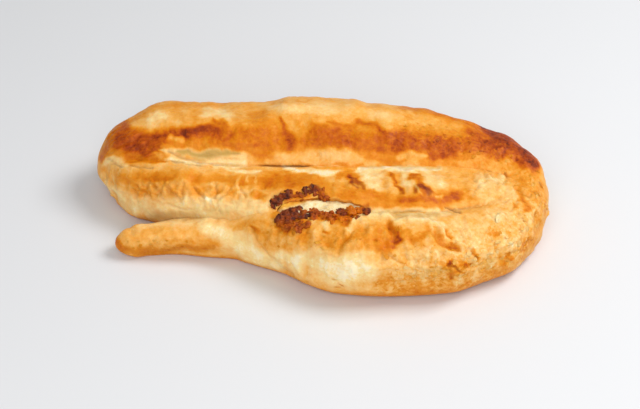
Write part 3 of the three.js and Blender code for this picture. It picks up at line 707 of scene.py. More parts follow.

# Creases that are seen one by one: how deep, how wide to either side, how darkly painted shade lies in it,
# and the places that each runs through on the slanted plan. One with a negative depth is a ridge.
CREASES = [
    ("crack of the fold", 0.5, 0.6, 0.35, [(-101, 32), (-98, 29), (-94, 28)]),
    ("edge of the fold", 0.5, 0.6, 0.35, [(-90, 28.5), (-85, 27), (-79, 27)]),
    ("long fold of the foot", 0.5, 0.7, 0.35, [(-72, 35), (-67, 32.5), (-61, 30.5), (-54, 28)]),
    ("second fold of the foot", 0.45, 0.6, 0.5, [(-70, 30), (-63, 29), (-56, 28)]),
    ("first crumple", 0.8, 0.7, 0.2, [(-88, 18), (-87, 15), (-86, 11.5)]),
    ("second crumple", 0.8, 0.7, 0.15, [(-86, 18.5), (-83, 16), (-80, 13.5)]),
    ("third crumple", 0.8, 0.7, 0.2, [(-80, 20.5), (-81, 17), (-83, 13.5)]),
    ("fourth crumple", 0.8, 0.7, 0.15, [(-79, 19.5), (-76, 16.5), (-73, 13)]),
    ("fifth crumple", 0.8, 0.7, 0.2, [(-73, 20), (-74, 17), (-76, 14.5)]),
    ("sixth crumple", 0.8, 0.7, 0.17, [(-72, 18.5), (-69, 15.5), (-66, 13.5), (-64, 10.5)]),
    ("seventh crumple", 0.8, 0.7, 0.15, [(-64, 19.5), (-65, 16.5), (-64, 13.5)]),
    ("eighth crumple", 0.8, 0.7, 0.15, [(-59, 18), (-57, 15), (-54, 13)]),
    ("ninth crumple", 0.8, 0.7, 0.17, [(-49, 19), (-48, 16), (-50, 13)]),
    ("tenth crumple", 0.8, 0.7, 0.15, [(-47, 12), (-44, 15), (-42, 18)]),
    ("eleventh crumple", 0.8, 0.7, 0.17, [(-38, 19.5), (-37, 16.5), (-35, 13.5)]),
    ("low crumple", 0.5, 0.6, 0.15, [(-88, 10), (-84, 8.5), (-80, 5.5)]),
    ("second low crumple", 0.5, 0.6, 0.15, [(-71, 10.5), (-66, 8.5), (-60, 8)]),
    ("third low crumple", 0.5, 0.6, 0.15, [(-49, 13), (-47, 9), (-46, 6)]),
    ("shoulder", 0.7, 0.8, 0.12, [(-32, -1), (-29, -6.5), (-25, -11.5), (-19, -18), (-13, -21)]),
    ("dark fold", 1.0, 1.2, 0.15, [(29, 2.5), (31, -3.5), (32, -8.5)]),
    ("second dark fold", 1.0, 1.2, 0.15, [(48, -1.5), (52, -7), (60, -10.5)]),
    ("third fold of the front", 0.7, 1.0, 0.05, [(19, 0.5), (18, -5), (19, -10)]),
    ("fourth fold of the front", 0.6, 0.9, 0.05, [(8, -0.5), (9, -5.5), (7, -11)]),
    ("fold of the low side", 0.5, 0.9, 0.05, [(34, -11), (40, -15.5), (42, -21)]),
    ("fold of the front's right", 0.6, 0.9, 0.1, [(63, 4.5), (64, -2.5), (67, -8.5)]),
    ("edge of the lifted leaf", 0.7, 0.5, 0.7, [(56, 9), (59, 7.5), (62, 6)]),
    ("wrinkle of the inner end", 0.6, 0.8, 0.15, [(75, 25), (75, 21), (71, 17.5)]),
    ("second wrinkle of the end", 0.5, 0.7, 0.1, [(85, 24), (87, 19.5), (89, 16.5)]),
    ("fold of the right end", 0.4, 0.8, 0.15, [(90, 17.5), (92, 12), (96, 8.5)]),
    ("wrinkle at the right", 0.5, 0.7, 0.15, [(89, 12), (87, 9), (85, 7.5)]),
    ("radial wrinkle, first", 0.6, 0.6, 0.15, [(68, 23), (71, 19), (69, 14.5)]),
    ("radial wrinkle, second", 0.6, 0.6, 0.15, [(78, 24), (80, 20), (79, 15.5)]),
    ("radial wrinkle, third", 0.6, 0.6, 0.12, [(78, 13), (82, 11), (85, 12)]),
    ("radial wrinkle, fourth", 0.6, 0.6, 0.12, [(75, 6.5), (77, 3), (79, 0.5)]),
    ("radial wrinkle, fifth", 0.6, 0.6, 0.12, [(82, 6.5), (83, 3), (85, -0.5)]),
    ("radial wrinkle, sixth", 0.6, 0.6, 0.12, [(88, 5.5), (90, 3), (94, 1)]),
    ("pale fold's ridge", -1.3, 1.4, 0.0, [(13, 1.5), (16, 3), (22, 4.5), (30, 5)]),
    ("yellow fold's ridge", -1.2, 1.5, 0.0, [(32, 2), (37, 3.5), (43, 2.5), (50, 0), (53, -2)]),
    ("ridge between the folds", -0.8, 1.3, 0.0, [(35, 0.5), (36, -5), (38, -9)]),
    ("ridge left of the fold", -0.8, 1.3, 0.0, [(24, 0.5), (24, -5), (26, -10)]),
    ("ridge past the second fold", -0.8, 1.2, 0.0, [(52, -2), (56, -5.5), (62, -8.5)]),
    ("facet of the crumples, first", -0.7, 0.9, 0.0, [(-84, 18), (-84, 15), (-84, 12.5)]),
    ("facet of the crumples, second", -0.7, 0.9, 0.0, [(-78, 15.5), (-78, 13)]),
    ("facet of the crumples, third", -0.7, 0.9, 0.0, [(-69, 18.5), (-68, 16.5)]),
    ("facet of the crumples, fourth", -0.8, 0.9, 0.0, [(-61, 17), (-60, 14), (-58, 11)]),
    ("white crumple", -0.9, 0.9, 0.0, [(-54, 14), (-53, 12), (-52, 8.5)]),
    ("second white crumple", -0.7, 0.8, 0.0, [(-50, 12.5), (-48, 9)]),
    ("leaf edge of the inner end", 0.5, 0.5, 0.2, [(74, 24.5), (76, 22.5), (78, 20.5), (81, 20)]),
    ("standing leaf's edge", 0.6, 0.5, 0.3, [(85, 24.5), (85, 21), (82, 19)]),
    ("golden line of the end", 0.6, 0.6, 0.3, [(90, 17), (92, 15), (95, 14)]),
    ("first crack of the grains", 0.6, 0.5, 0.4, [(55, -17), (58, -17.5), (61, -19.5)]),
    ("second crack of the grains", 0.6, 0.5, 0.4, [(57, -18), (58, -23.5)]),
    ("olive crease of the right", 0.6, 0.6, 0.3, [(66, -10), (68, -14.5)]),
    ("low fold of the front", 0.5, 0.7, 0.15, [(26, -10), (26, -16)]),
    ("second low fold", 0.5, 0.6, 0.15, [(29, -11.5), (34, -15.5)]),
    ("folds past the lifted leaf", 0.5, 0.6, 0.2, [(60, -0.5), (62, -4), (63, -7.5)]),
    ("second of those folds", 0.5, 0.6, 0.2, [(63, -1), (64, -3)]),
]
CREASE_REACH = 4  # how many of its half-widths a crease is followed outwards
CREASE_BANK = 0.4  # height of the bank beside a crease, as a share of its depth
BANK_OUT = 2  # how many half-widths out the bank lies
# The dark line along a crease or a seam is painted shade.
CREASE_SHADE_WIDTH = 1.4  # how many times narrower than the crease its dark line is
SEAM_DEPTH = 1.0
SEAM_WIDTH = 0.7
SEAM_SHADE_WIDTH = 0.7 * SEAM_WIDTH
SHUT_DEPTH = 0.05  # depth and darkness of a seam that has not opened, as shares of an open one's
SHUT_SHADE = 0.04
STROKE_FADE = (0.2, 1.7)  # how many half-widths out a stroke starts to fade, and where it has ended
STROKE_LIMIT = 1.8  # how many half-widths out it is followed


def slanted(points):
    """Places on the slanted plan: x, and y and z in one by the angle of the look."""
    up = points[..., 1] * math.sin(LOOK_DOWN) + points[..., 2] * math.cos(LOOK_DOWN)
    return np.stack([points[..., 0], up], -1)


def stroke_reach(plan, path, limit=STROKE_LIMIT):
    """How far out in a stroke each place lies: 0 on its middle line, 1 at its edge, endless past the limit.

    The stroke runs straight from point to point, and its half-width changes evenly along each run.
    """
    path = np.array(path, float)
    start, run = path[:-1], np.diff(path, axis=0)
    margin = limit * path[:, 2].max()
    low, high = path[:, :2].min(0) - margin, path[:, :2].max(0) + margin
    near = ((plan > low) & (plan < high)).all(1)
    offset = plan[near][:, None] - start[:, :2]
    share = np.clip((offset * run[:, :2]).sum(-1) / (run[:, :2] ** 2).sum(-1), 0, 1)
    away = np.linalg.norm(offset - share[..., None] * run[:, :2], axis=-1)
    reach = np.full(len(plan), np.inf)
    reach[near] = (away / (start[:, 2] + share * run[:, 2])).min(1)
    return reach


def stroke_weight(plan, path):
    """1 in the middle of a stroke, fading in an S-curve to 0 a little outside its edges."""
    return 1 - gentle_step(stroke_reach(plan, path), *STROKE_FADE)


def added_up(plan, strokes):
    """Sum of the strokes' levels over the plan."""
    return sum(level * stroke_weight(plan, path) for _, level, path in strokes)


def painted(plan, strokes, ground):
    """Levels over the plan: a ground, and strokes laid over it one after another."""
    levels = np.tile(np.array(ground, float), (len(plan), 1))
    for _, level, path in strokes:
        levels += (np.array(level) - levels) * stroke_weight(plan, path)[:, None]
    return levels


def frayed(points, seed):
    """Slanted places pushed about by noise of two sizes, so that what is painted there has ragged edges."""
    flat = points.reshape(-1, 3)
    shifts = [
        push * np.stack([soft_noise(flat / size, seed + k), soft_noise(flat / size, seed + k + 20)], -1)
        for k, (push, size) in enumerate(FRAYING)
    ]
    return slanted(flat) + sum(shifts)


def dress_crust(bare, leaf_place, end, gaps, seed):
    """Crust points and their paint, from a bare crust's grid and its gaps to its neighbours.

    The valleys beside the neighbours are filled. The crust is then moved along its outward directions by
    drapes across the roll, crumples, gathers along it, scales, and creases one by one: a crease is a
    bell-shaped groove between two low banks. At each seam the crust falls into a thin groove. The paint is
    browning, browner in the hollows of the drapes and crumples as painted shade; painted shade along the
    creases and seams; oil, char and flakiness. Each pattern's seed counts on from the given one.
    """
    outward = skin_directions(bare)
    grid = bare.shape[:2]
    valley_reach = painted(slanted(bare - COIL_MIDDLE).reshape(-1, 2), VALLEY_STROKES, [VALLEY_REACH])
    place = closed_up(bare, outward, gaps, valley_reach.reshape(grid)) - COIL_MIDDLE
    rise = added_up(slanted(place).reshape(-1, 2), RISE_STROKES).reshape(grid) * end
    place = place + outward * np.stack([rise, rise, rise * (outward[..., 2] > 0)], -1)
    plan = slanted(place).reshape(-1, 2)
    seen = gentle_step(outward @ TOWARDS_FRONT, *TURNED_AWAY)
    rumple = painted(plan, RUMPLE_STROKES, PLAIN_RUMPLE).reshape(*grid, 4)
    rumple = HIDDEN_RUMPLE + (rumple - HIDDEN_RUMPLE) * seen[..., None]
    drapes, crumples, gathers, scales = np.moveaxis(rumple, -1, 0)
    drift = soft_noise(place / DRIFT_SIZE, seed)[..., None]
    folds = leaf_place / DRAPE_SIZE + FOLD_DRIFT * drift
    drape = DRAPE_HEIGHTS[0] * creased(folds, seed + 1)
    drape += DRAPE_HEIGHTS[1] * creased(folds * FINER_DRAPES, seed + 2)
    crumple = crumpled(place / CRUMPLE_SIZE + CRUMPLE_DRIFT * drift, seed + 3)
    gather = creased(leaf_place / GATHER_SIZE + FOLD_DRIFT * drift, seed + 6)
    shade, scale = leaf_scales(place / SCALE_SIZE, seed + 7)
    relief = drapes * drape + crumples * crumple + gathers * gather + scales * scale
    # The dark line laid along each crease and seam is painted shade.
    crease_shade = np.zeros(grid)
    ragged = frayed(place, seed + 30)
    half_ragged = (plan + ragged) / 2
    for _, depth, width, dark, path in CREASES:
        line = [(x, up, width) for x, up in path]
        away = stroke_reach(half_ragged, line, CREASE_REACH).reshape(grid)
        bank = CREASE_BANK * np.exp(-((away - BANK_OUT) ** 2))
        relief += seen * depth * (bank - np.exp(-(away**2)))
        crease_shade = np.maximum(crease_shade, seen * dark * np.exp(-((CREASE_SHADE_WIDTH * away) ** 2)))
    opened = painted(plan, OPEN_SEAM_STROKES, [0.0]).reshape(grid)
    depth = SEAM_DEPTH * (SHUT_DEPTH + (1 - SHUT_DEPTH) * opened)
    dark = SHUT_SHADE + (1 - SHUT_SHADE) * opened
    for gap, _ in gaps:
        relief -= depth * np.exp(-((gap / SEAM_WIDTH) ** 2))
        crease_shade = np.maximum(crease_shade, dark * np.exp(-((gap / SEAM_SHADE_WIDTH) ** 2)))
    upper = gentle_step(outward[..., 2], *RELIEF_SLOPE) * np.sqrt(end)
    points = place + outward * (relief * upper)[..., None]

    bake = painted(ragged, BAKE_STROKES, [PLAIN_BAKE]).reshape(grid)
    low, high = HIDDEN_BAKE
    hidden = low + (high - low) * gentle_step(place[..., 2], *HIDDEN_HEIGHTS)
    for strength, size, step in HIDDEN_MOTTLES:
        hidden += strength * soft_noise(place / size, seed + step)
    bake = hidden + (bake - hidden) * seen
    bake += SCALE_CONTRAST * scales * (shade - 0.5)
    # Painted shade: the hollows of the drapes and crumples browner, what stands up paler.
    bake -= DRAPE_HOLLOW_SHADE * drapes * drape + CRUMPLE_HOLLOW_SHADE * crumples * crumple
    bake += FINE_MOTTLE * soft_noise(place / FINE_MOTTLE_SIZE, seed + 11)
    bake += (UNDERSIDE_BAKE - bake) * gentle_step(-outward[..., 2], *UNDERSIDE_SLOPE)
    oily = painted(ragged, OILY_STROKES, [0.0]).reshape(grid)
    char = seen * painted(ragged, CHAR_STROKES, [0.0]).reshape(grid)
    flaky = np.clip(scales / FLAKY_HEIGHT, 0, 1)
    return points, np.stack([bake, crease_shade, oily, char, flaky], -1)


# The second layer is painted shade along the creases and seams.
PAINT_LAYERS = 5  # browning, crack, oil, char and flakiness


def lay_paint(mesh, paint):
    """Puts the points' paint on the faces' corners, because joining solids keeps the values at corners.

    Browning, the painted shade of creases and seams, oil and char are the colour "bake", and flakiness
    is "flaky".
    """
    corner = np.empty(len(mesh.loops), np.int32)
    mesh.loops.foreach_get("vertex_index", corner)
    at_corners = paint.reshape(-1, PAINT_LAYERS)[corner].astype(np.float32)
    bake = mesh.attributes.new("bake", "FLOAT_COLOR", "CORNER")
    bake.data.foreach_set("color", at_corners[:, :4].ravel())
    flaky = mesh.attributes.new("flaky", "FLOAT", "CORNER")
    flaky.data.foreach_set("value", at_corners[:, 4].copy())


def closed_mesh(name, points, paint=None):
    """A closed solid through a grid of rings, or one for each grid of a stack of them.

    Quads lie between the rings, and a flat face over each end.
    """
    points = points.reshape(-1, *points.shape[-3:])
    solids, rings, sides = points.shape[:3]
    index = np.arange(solids * rings * sides).reshape(solids, rings, sides)
    near, far = index[:, :-1], index[:, 1:]
    quads = np.stack([near, np.roll(near, -1, 2), np.roll(far, -1, 2), far], -1).reshape(-1, 4)
    faces = quads.tolist() + index[:, 0, ::-1].tolist() + index[:, -1].tolist()
    mesh = bpy.data.meshes.new(name)
    mesh.from_pydata((points.reshape(-1, 3) * MM).tolist(), [], faces)
    if paint is not None:
        lay_paint(mesh, paint)
    made = bpy.data.objects.new(name, mesh)
    bpy.context.scene.collection.objects.link(made)
    return made


def plain_paint(points, bake, char=0.0):
    """One browning and one char level for all the points."""
    return np.broadcast_to(np.array([bake, 0, 0, char, 0]), (*points.shape[:-1], PAINT_LAYERS))


def egg_points(size, centre, rings, sides, turn=0.0):
    """Egg-shaped solid on a grid of heights by angles: ovals that follow a half sine, turned in plan."""
    slope = np.linspace(0, math.pi, rings + 2)[1:-1, None]
    angle = np.linspace(0, 2 * math.pi, sides, endpoint=False)
    unit = [np.sin(slope) * np.cos(angle), np.sin(slope) * np.sin(angle), np.cos(slope) + 0 * angle]
    points = np.stack(unit, -1)[::-1] * size / 2
    cosine, sine = math.cos(turn), math.sin(turn)
    return centre + points @ np.array([[cosine, sine, 0], [-sine, cosine, 0], [0, 0, 1]])


def join_or_cut(body, other, operation):
    """Joins another solid to a body, or cuts it out of the body, and takes the other away."""
    step = body.modifiers.new(operation.lower(), "BOOLEAN")
    step.object = other
    step.operation = operation
    step.solver = "MANIFOLD"
    bpy.context.view_layer.objects.active = body
    bpy.ops.object.modifier_apply(modifier=step.name)
    bpy.data.objects.remove(other)


def cut_out(body, name, points, bake):
    """Cuts a solid out of a body, and browns the walls that it leaves evenly."""
    join_or_cut(body, closed_mesh(name, points, plain_paint(points, bake)), "DIFFERENCE")


OUTER_SEED, INNER_SEED, FOLD_SEED = 1, 21, 41
FOLD_GRID = (50, 110)  # rings and sides of the fold's mesh
below_left = np.linspace(-math.pi / 2, 0, SIDE_ANGLES, endpoint=False)
over_top = np.linspace(0, math.pi, TOP_ANGLES, endpoint=False)
below_right = np.linspace(math.pi, 1.5 * math.pi, SIDE_ANGLES, endpoint=False)
around = np.concatenate([below_left, over_top, below_right])


def baked_stretch(stretch, neighbour, seed):
    """Crust points and paint of a stretch that lies against the other stretch and the fold."""
    bare = smooth_skin(stretch, around)
    gaps = [gap_to_stretch(bare, neighbour), gap_to_egg(bare, FOLD_SIZE, FOLD_CENTRE)]
    return dress_crust(bare, unrolled(stretch, around), stretch["end"][:, None], gaps, seed)


outer = lay_stretch(OUTER_STATIONS, OUTER_TIPS, RING_STEP, TIP_RINGS)
inner = lay_stretch(INNER_STATIONS, INNER_TIPS, RING_STEP, TIP_RINGS)
outer_crust, outer_paint = baked_stretch(outer, inner, OUTER_SEED)
inner_crust, inner_paint = baked_stretch(inner, outer, INNER_SEED)
fold_bare = egg_points(FOLD_SIZE, FOLD_CENTRE, *FOLD_GRID)
fold_gaps = [gap_to_stretch(fold_bare, outer), gap_to_stretch(fold_bare, inner)]
fold_crust, fold_paint = dress_crust(fold_bare, fold_bare[..., 1:], 1.0, fold_gaps, FOLD_SEED)

pastry = closed_mesh("pastry_crust", outer_crust, outer_paint)
join_or_cut(pastry, closed_mesh("inner_stretch", inner_crust, inner_paint), "UNION")
join_or_cut(pastry, closed_mesh("fold", fold_crust, fold_paint), "UNION")

# What sank below the tray's level is cut off flat.
TRAY_SIZE = np.array([400, 400, 40])
tray = np.empty((2, 4, 3))
tray[..., :2] = np.array([(-1, -1), (1, -1), (1, 1), (-1, 1)]) / 2 * TRAY_SIZE[:2]
tray[..., 2] = [[-TRAY_SIZE[2]], [0]]
cut_out(pastry, "tray", tray, UNDERSIDE_BAKE)

# The tear along the seam of the front and middle arms, with ragged walls.
TEAR_CENTRE = np.array([0, -20.3, 22]) - COIL_MIDDLE
TEAR_SIZE = np.array([44, 14, 26])
TEAR_TURN = math.radians(-6)
TEAR_GRID = (40, 120)  # rings and sides of its mesh
TEAR_RAGGED = 0.7  # how far its walls are crumpled, over what size
TEAR_RAGGED_SIZE = 5.0
TEAR_SEED = 61
TEAR_BAKE = 0.5
tear = egg_points(TEAR_SIZE, TEAR_CENTRE, *TEAR_GRID, TEAR_TURN)
tear += TEAR_RAGGED * crumpled(tear / TEAR_RAGGED_SIZE, TEAR_SEED)[..., None] * skin_directions(tear)
cut_out(pastry, "tear", tear, TEAR_BAKE)

# The tunnel of the filling, which keeps clear of the cheese.
CORE_SHARE = 0.5  # core size as a share of the roll's size
CORE_LEVEL = 0.46  # height of the core's middle, as a share of the roll's height
CORE_TIPS = (9, 9)
CORE_TIP_RINGS = 8
# How far the filling keeps from the two ends of each stretch.
CORE_RUNS = [("outer", OUTER_STATIONS, (40, 30)), ("inner", INNER_STATIONS, (26, 20))]
CORE_CLEARANCE = 0.3
TUNNEL_STEP, TUNNEL_SIDES = 6, 20  # of the tunnel's mesh
TUNNEL_BAKE = 0.1


def core_points(stations, kept_off, margin, step, sides):
    """The filling's core in a stretch: an oval in the middle of the roll's section, grown by a margin."""
    stretch = lay_stretch(stations, CORE_TIPS, step, CORE_TIP_RINGS, kept_off)
    turn = np.linspace(-math.pi / 2, 1.5 * math.pi, sides, endpoint=False)
    half = CORE_SHARE / 2 * stretch["end"][:, None]
    across = (stretch["width"][:, None] * half + margin) * np.cos(turn)
    up = (stretch["height"][:, None] * half + margin) * np.sin(turn)
    points = np.empty(across.shape + (3,))
    points[..., :2] = stretch["centre"][:, None] + across[..., None] * stretch["left"][:, None]
    points[..., 2] = CORE_LEVEL * stretch["height"][:, None] + up
    return points - COIL_MIDDLE


for name, stations, kept_off in CORE_RUNS:
    tunnel = core_points(stations, kept_off, CORE_CLEARANCE, TUNNEL_STEP, TUNNEL_SIDES)
    cut_out(pastry, name + "_tunnel", tunnel, TUNNEL_BAKE)


def linear(hex_colour):
    """An sRGB hex colour as linear red, green, blue and full alpha."""
    share = np.array([int(hex_colour[k : k + 2], 16) for k in (1, 3, 5)]) / 255
    value = np.where(share <= 0.04045, share / 12.92, ((share + 0.055) / 1.055) ** 2.4)
    return (*value, 1.0)


def add_node(tree, kind, inputs=None, **settings):
    """Adds a node with its settings, and gives each named input a value or a link from another socket."""
    made = tree.nodes.new(kind)
    for name, value in settings.items():
        setattr(made, name, value)
    for name, value in (inputs or {}).items():
        if isinstance(value, bpy.types.NodeSocket):
            tree.links.new(value, made.inputs[name])
        else:
            made.inputs[name].default_value = value
    return made


def new_material(name):
    """An empty node material: its tree and its output node."""
    material = bpy.data.materials.new(name)
    material.use_nodes = True
    material.node_tree.nodes.clear()
    return material, add_node(material.node_tree, "ShaderNodeOutputMaterial")


# Baked filo: wheat leaves brushed with oil. Cream where they stayed soft, golden to deep brown where they
# stood up to the heat, mottled in patches of 1 to 5 mm, with a dull oil sheen and a finely crinkled skin.
# Where they are flaky, fine scales are each a little paler or browner than the next. Along creases and open
# seams, painted shade darkens them.
BAKE_COLOURS = [
    (0.0, "#F9E5BC"),
    (0.1, "#F5D592"),
    (0.22, "#F2C279"),
    (0.36, "#EDAB50"),
    (0.5, "#E39123"),
    (0.65, "#D67900"),
    (0.8, "#BD5700"),
    (0.9, "#9A3A04"),
    (1.0, "#5A1C0A"),
]
# Painted shade that darkens the creases and open seams:
CREASE_SHADE_COLOUR = "#84480E"
OILY_COLOUR = "#BE9648"
CHAR_COLOUR = "#42201A"
MOTTLE_SIZE = 4.5
FLECK_SIZE = 1.3
CRINKLE_SIZE = 3.5
FINE_SCALE_SIZE = 1.1
MOTTLE_BROWNING = 0.28  # how much browner the brownest of each pattern is than its palest
FLECK_BROWNING = 0.22
SCALE_BROWNING = 0.2
PATTERN_MIDDLE = 0.5  # level of the mottles and flecks that leaves the browning as it is painted
SCALE_MIDDLE = 0.3  # and of the scales


def baked_filo():
    """Baked filo: the corner paint, frayed by mottles, flecks and scales, picks a colour on the ramp."""
    material, output = new_material("baked_filo")
    tree = material.node_tree
    paint = add_node(tree, "ShaderNodeAttribute", attribute_name="bake")
    layers = add_node(tree, "ShaderNodeSeparateColor", {"Color": paint.outputs["Color"]}).outputs
    flaky = add_node(tree, "ShaderNodeAttribute", attribute_name="flaky").outputs["Fac"]
    place = add_node(tree, "ShaderNodeTexCoord").outputs["Object"]
    mottle = add_node(
        tree, "ShaderNodeTexNoise",
        {
            "Vector": place, "Scale": 1 / (MOTTLE_SIZE * MM),
            "Detail": 4.0, "Roughness": 0.6, "Distortion": 0.8,
        },
    ).outputs["Fac"]
    fleck = add_node(
        tree, "ShaderNodeTexNoise",
        {
            "Vector": place, "Scale": 1 / (FLECK_SIZE * MM),
            "Detail": 3.0, "Roughness": 0.6, "Distortion": 0.6,
        },
    ).outputs["Fac"]
    crinkle = add_node(
        tree, "ShaderNodeTexNoise",
        {"Vector": place, "Scale": 1 / (CRINKLE_SIZE * MM), "Detail": 3.0, "Distortion": 0.7},
        noise_type="RIDGED_MULTIFRACTAL", normalize=True,
    ).outputs["Fac"]
    scales = add_node(
        tree, "ShaderNodeTexVoronoi",
        {"Vector": place, "Scale": 1 / (FINE_SCALE_SIZE * MM), "Randomness": 1.0},
    ).outputs["Color"]
    scale_shade = add_node(tree, "ShaderNodeSeparateColor", {"Color": scales}).outputs["Red"]
    flaky_shade = add_node(
        tree, "ShaderNodeMath", {0: scale_shade, 1: flaky}, operation="MULTIPLY",
    ).outputs[0]
    browning = layers["Red"]
    for pattern, middle, strength in (
        (mottle, PATTERN_MIDDLE, MOTTLE_BROWNING),
        (fleck, PATTERN_MIDDLE, FLECK_BROWNING),
        (flaky_shade, SCALE_MIDDLE, SCALE_BROWNING),
    ):
        centred = add_node(tree, "ShaderNodeMath", {0: pattern, 1: middle}, operation="SUBTRACT").outputs[0]
        browning = add_node(
            tree, "ShaderNodeMath", {0: centred, 1: strength, 2: browning}, operation="MULTIPLY_ADD",
        ).outputs[0]
    ramp = add_node(tree, "ShaderNodeValToRGB", {"Fac": browning})
    stops = ramp.color_ramp.elements
    stops.remove(stops[0])
    for number, (level, colour) in enumerate(BAKE_COLOURS):
        stop = stops[0] if number == 0 else stops.new(level)
        stop.position = level
        stop.color = linear(colour)
    colour = ramp.outputs["Color"]
    # Oil, the painted shade of creases and seams, and char are mixed in over the ramp's colour.
    for share, over in (
        (layers["Blue"], OILY_COLOUR),
        (layers["Green"], CREASE_SHADE_COLOUR),
        (paint.outputs["Alpha"], CHAR_COLOUR),
    ):
        mix = add_node(tree, "ShaderNodeMix", {"Factor": share, 6: colour, 7: linear(over)}, data_type="RGBA")
        colour = mix.outputs[2]
    sheen_patches = add_node(
        tree, "ShaderNodeMapRange", {"Value": mottle, "To Min": 0.3, "To Max": 0.6},
    ).outputs["Result"]
    skin = add_node(tree, "ShaderNodeBump", {"Height": fleck, "Strength": 0.6, "Distance": 0.5 * MM})
    crinkled = add_node(
        tree, "ShaderNodeBump",
        {"Height": crinkle, "Strength": 0.4, "Distance": 0.6 * MM, "Normal": skin.outputs["Normal"]},
    )
    scaly = add_node(
        tree, "ShaderNodeBump",
        {"Height": flaky_shade, "Strength": 0.6, "Distance": 0.5 * MM, "Normal": crinkled.outputs["Normal"]},
    )
    shader = add_node(
        tree, "ShaderNodeBsdfPrincipled",
        {
            "Base Color": colour,
            "Roughness": sheen_patches,
            "Normal": scaly.outputs["Normal"],
            "IOR": 1.45,
            "Specular IOR Level": 0.2,
            "Subsurface Weight": 0.25,
            "Subsurface Radius": (1.0, 0.5, 0.2),
            "Subsurface Scale": 2 * MM,
        },
    )
    tree.links.new(shader.outputs[0], output.inputs["Surface"])
    return material


def finish_piece(piece, material, node):
    """Shades a piece smoothly, gives it its material, and sets it in the frame in place of its node."""
    piece.data.materials.clear()
    piece.data.materials.append(material)
    piece.data.polygons.foreach_set("use_smooth", np.ones(len(piece.data.polygons), bool))
    piece.data.update()
    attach(piece, "root")
    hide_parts(node)


filo = baked_filo()
finish_piece(pastry, filo, "pastry_roll")

# Cheese filling
# Fresh white cheese, crumbled and rolled into the filo. It runs through the whole roll as a core and shows
# in the tear, where it has risen as a lumpy curd between the two lips.
CURD_LEVEL = 28.0
CURD_MARGIN = 0.3  # how much smaller than the tear it is
CURD_GRID = (60, 150)  # rings and sides of its mesh
CURD_LUMPS, CURD_LUMP_SIZE = 0.9, 3.2  # height and size of its lumps, and of the crumbs on them
CURD_CRUMBS, CURD_CRUMB_SIZE = 0.5, 1.7
CURD_SEED = 71
# Where the curd has baked yellow: strokes on the slanted plan.
CURD_BAKE_STROKES = [
    ("left end", 0.95, [(-20, 8.5, 1.6), (-16, 10, 1.8), (-12, 11, 1.6), (-8, 12, 1.2)]),
    ("upper edge", 0.7, [(-8, 12.3, 0.9), (-3, 12.6, 0.8), (1, 12.6, 0.7)]),
]
CORE_STEP, CORE_SIDES = 4, 32  # of the core's mesh
curd = egg_points(TEAR_SIZE - 2 * CURD_MARGIN, TEAR_CENTRE, *CURD_GRID, TEAR_TURN)
lumps = CURD_LUMPS * soft_noise(curd / CURD_LUMP_SIZE, CURD_SEED)
crumbs = CURD_CRUMBS * np.abs(soft_noise(curd / CURD_CRUMB_SIZE, CURD_SEED + 1))
curd[..., 2] = np.minimum(curd[..., 2], CURD_LEVEL + lumps + crumbs)
curd_paint = np.zeros((*CURD_GRID, PAINT_LAYERS))
curd_paint[..., :1] = painted(slanted(curd).reshape(-1, 2), CURD_BAKE_STROKES, [0.0]).reshape(*CURD_GRID, 1)
filling = closed_mesh("cheese_core", curd, curd_paint)
for name, stations, kept_off in CORE_RUNS:
    core = core_points(stations, kept_off, 0, CORE_STEP, CORE_SIDES)
    join_or_cut(filling, closed_mesh(name + "_core", core, plain_paint(core, 0.0)), "UNION")

# Fresh white cheese: moist curd grains of 1 to 2 mm, warm white, soft light under the skin. Where the upper
# lip hangs over it, it has baked yellow.
CURD_GRAIN = 1.4
CURD_COLOURS = [(0.3, "#E4C37C"), (0.6, "#F5E0B2")]  # between the grains, and on them
BAKED_CURD_COLOUR = "#EAA424"


def white_cheese():
    """White cheese: warm white curd, yellower between its grains and where it has baked."""
    material, output = new_material("fresh_white_cheese")
    tree = material.node_tree
    place = add_node(tree, "ShaderNodeTexCoord").outputs["Object"]
    grains = add_node(
        tree, "ShaderNodeTexNoise",
        {"Vector": place, "Scale": 1 / (CURD_GRAIN * MM), "Detail": 3.0, "Roughness": 0.6},
    ).outputs["Fac"]
    ramp = add_node(tree, "ShaderNodeValToRGB", {"Fac": grains})
    for stop, (level, colour) in zip(ramp.color_ramp.elements, CURD_COLOURS):
        stop.position = level
        stop.color = linear(colour)
    paint = add_node(tree, "ShaderNodeAttribute", attribute_name="bake")
    baked = add_node(tree, "ShaderNodeSeparateColor", {"Color": paint.outputs["Color"]}).outputs["Red"]
    colour = add_node(
        tree, "ShaderNodeMix",
        {"Factor": baked, 6: ramp.outputs["Color"], 7: linear(BAKED_CURD_COLOUR)}, data_type="RGBA",
    ).outputs[2]
    bump = add_node(tree, "ShaderNodeBump", {"Height": grains, "Strength": 0.5, "Distance": 0.5 * MM})
    shader = add_node(
        tree, "ShaderNodeBsdfPrincipled",
        {
            "Base Color": colour,
            "Roughness": 0.4,
            "Normal": bump.outputs["Normal"],
            "Subsurface Weight": 0.3,
            "Subsurface Radius": (1.0, 0.8, 0.5),
            "Subsurface Scale": 2 * MM,
        },
    )
    tree.links.new(shader.outputs[0], output.inputs["Surface"])
    return material


finish_piece(filling, white_cheese(), "cheese_filling")

# Burnt crags
# Filling and leaf that boiled out of the tear and burnt on its two lips: rough lumps of 1 to 5 mm, baked
# into one crust on either lip, dark red-brown at the left and orange-brown towards the right.

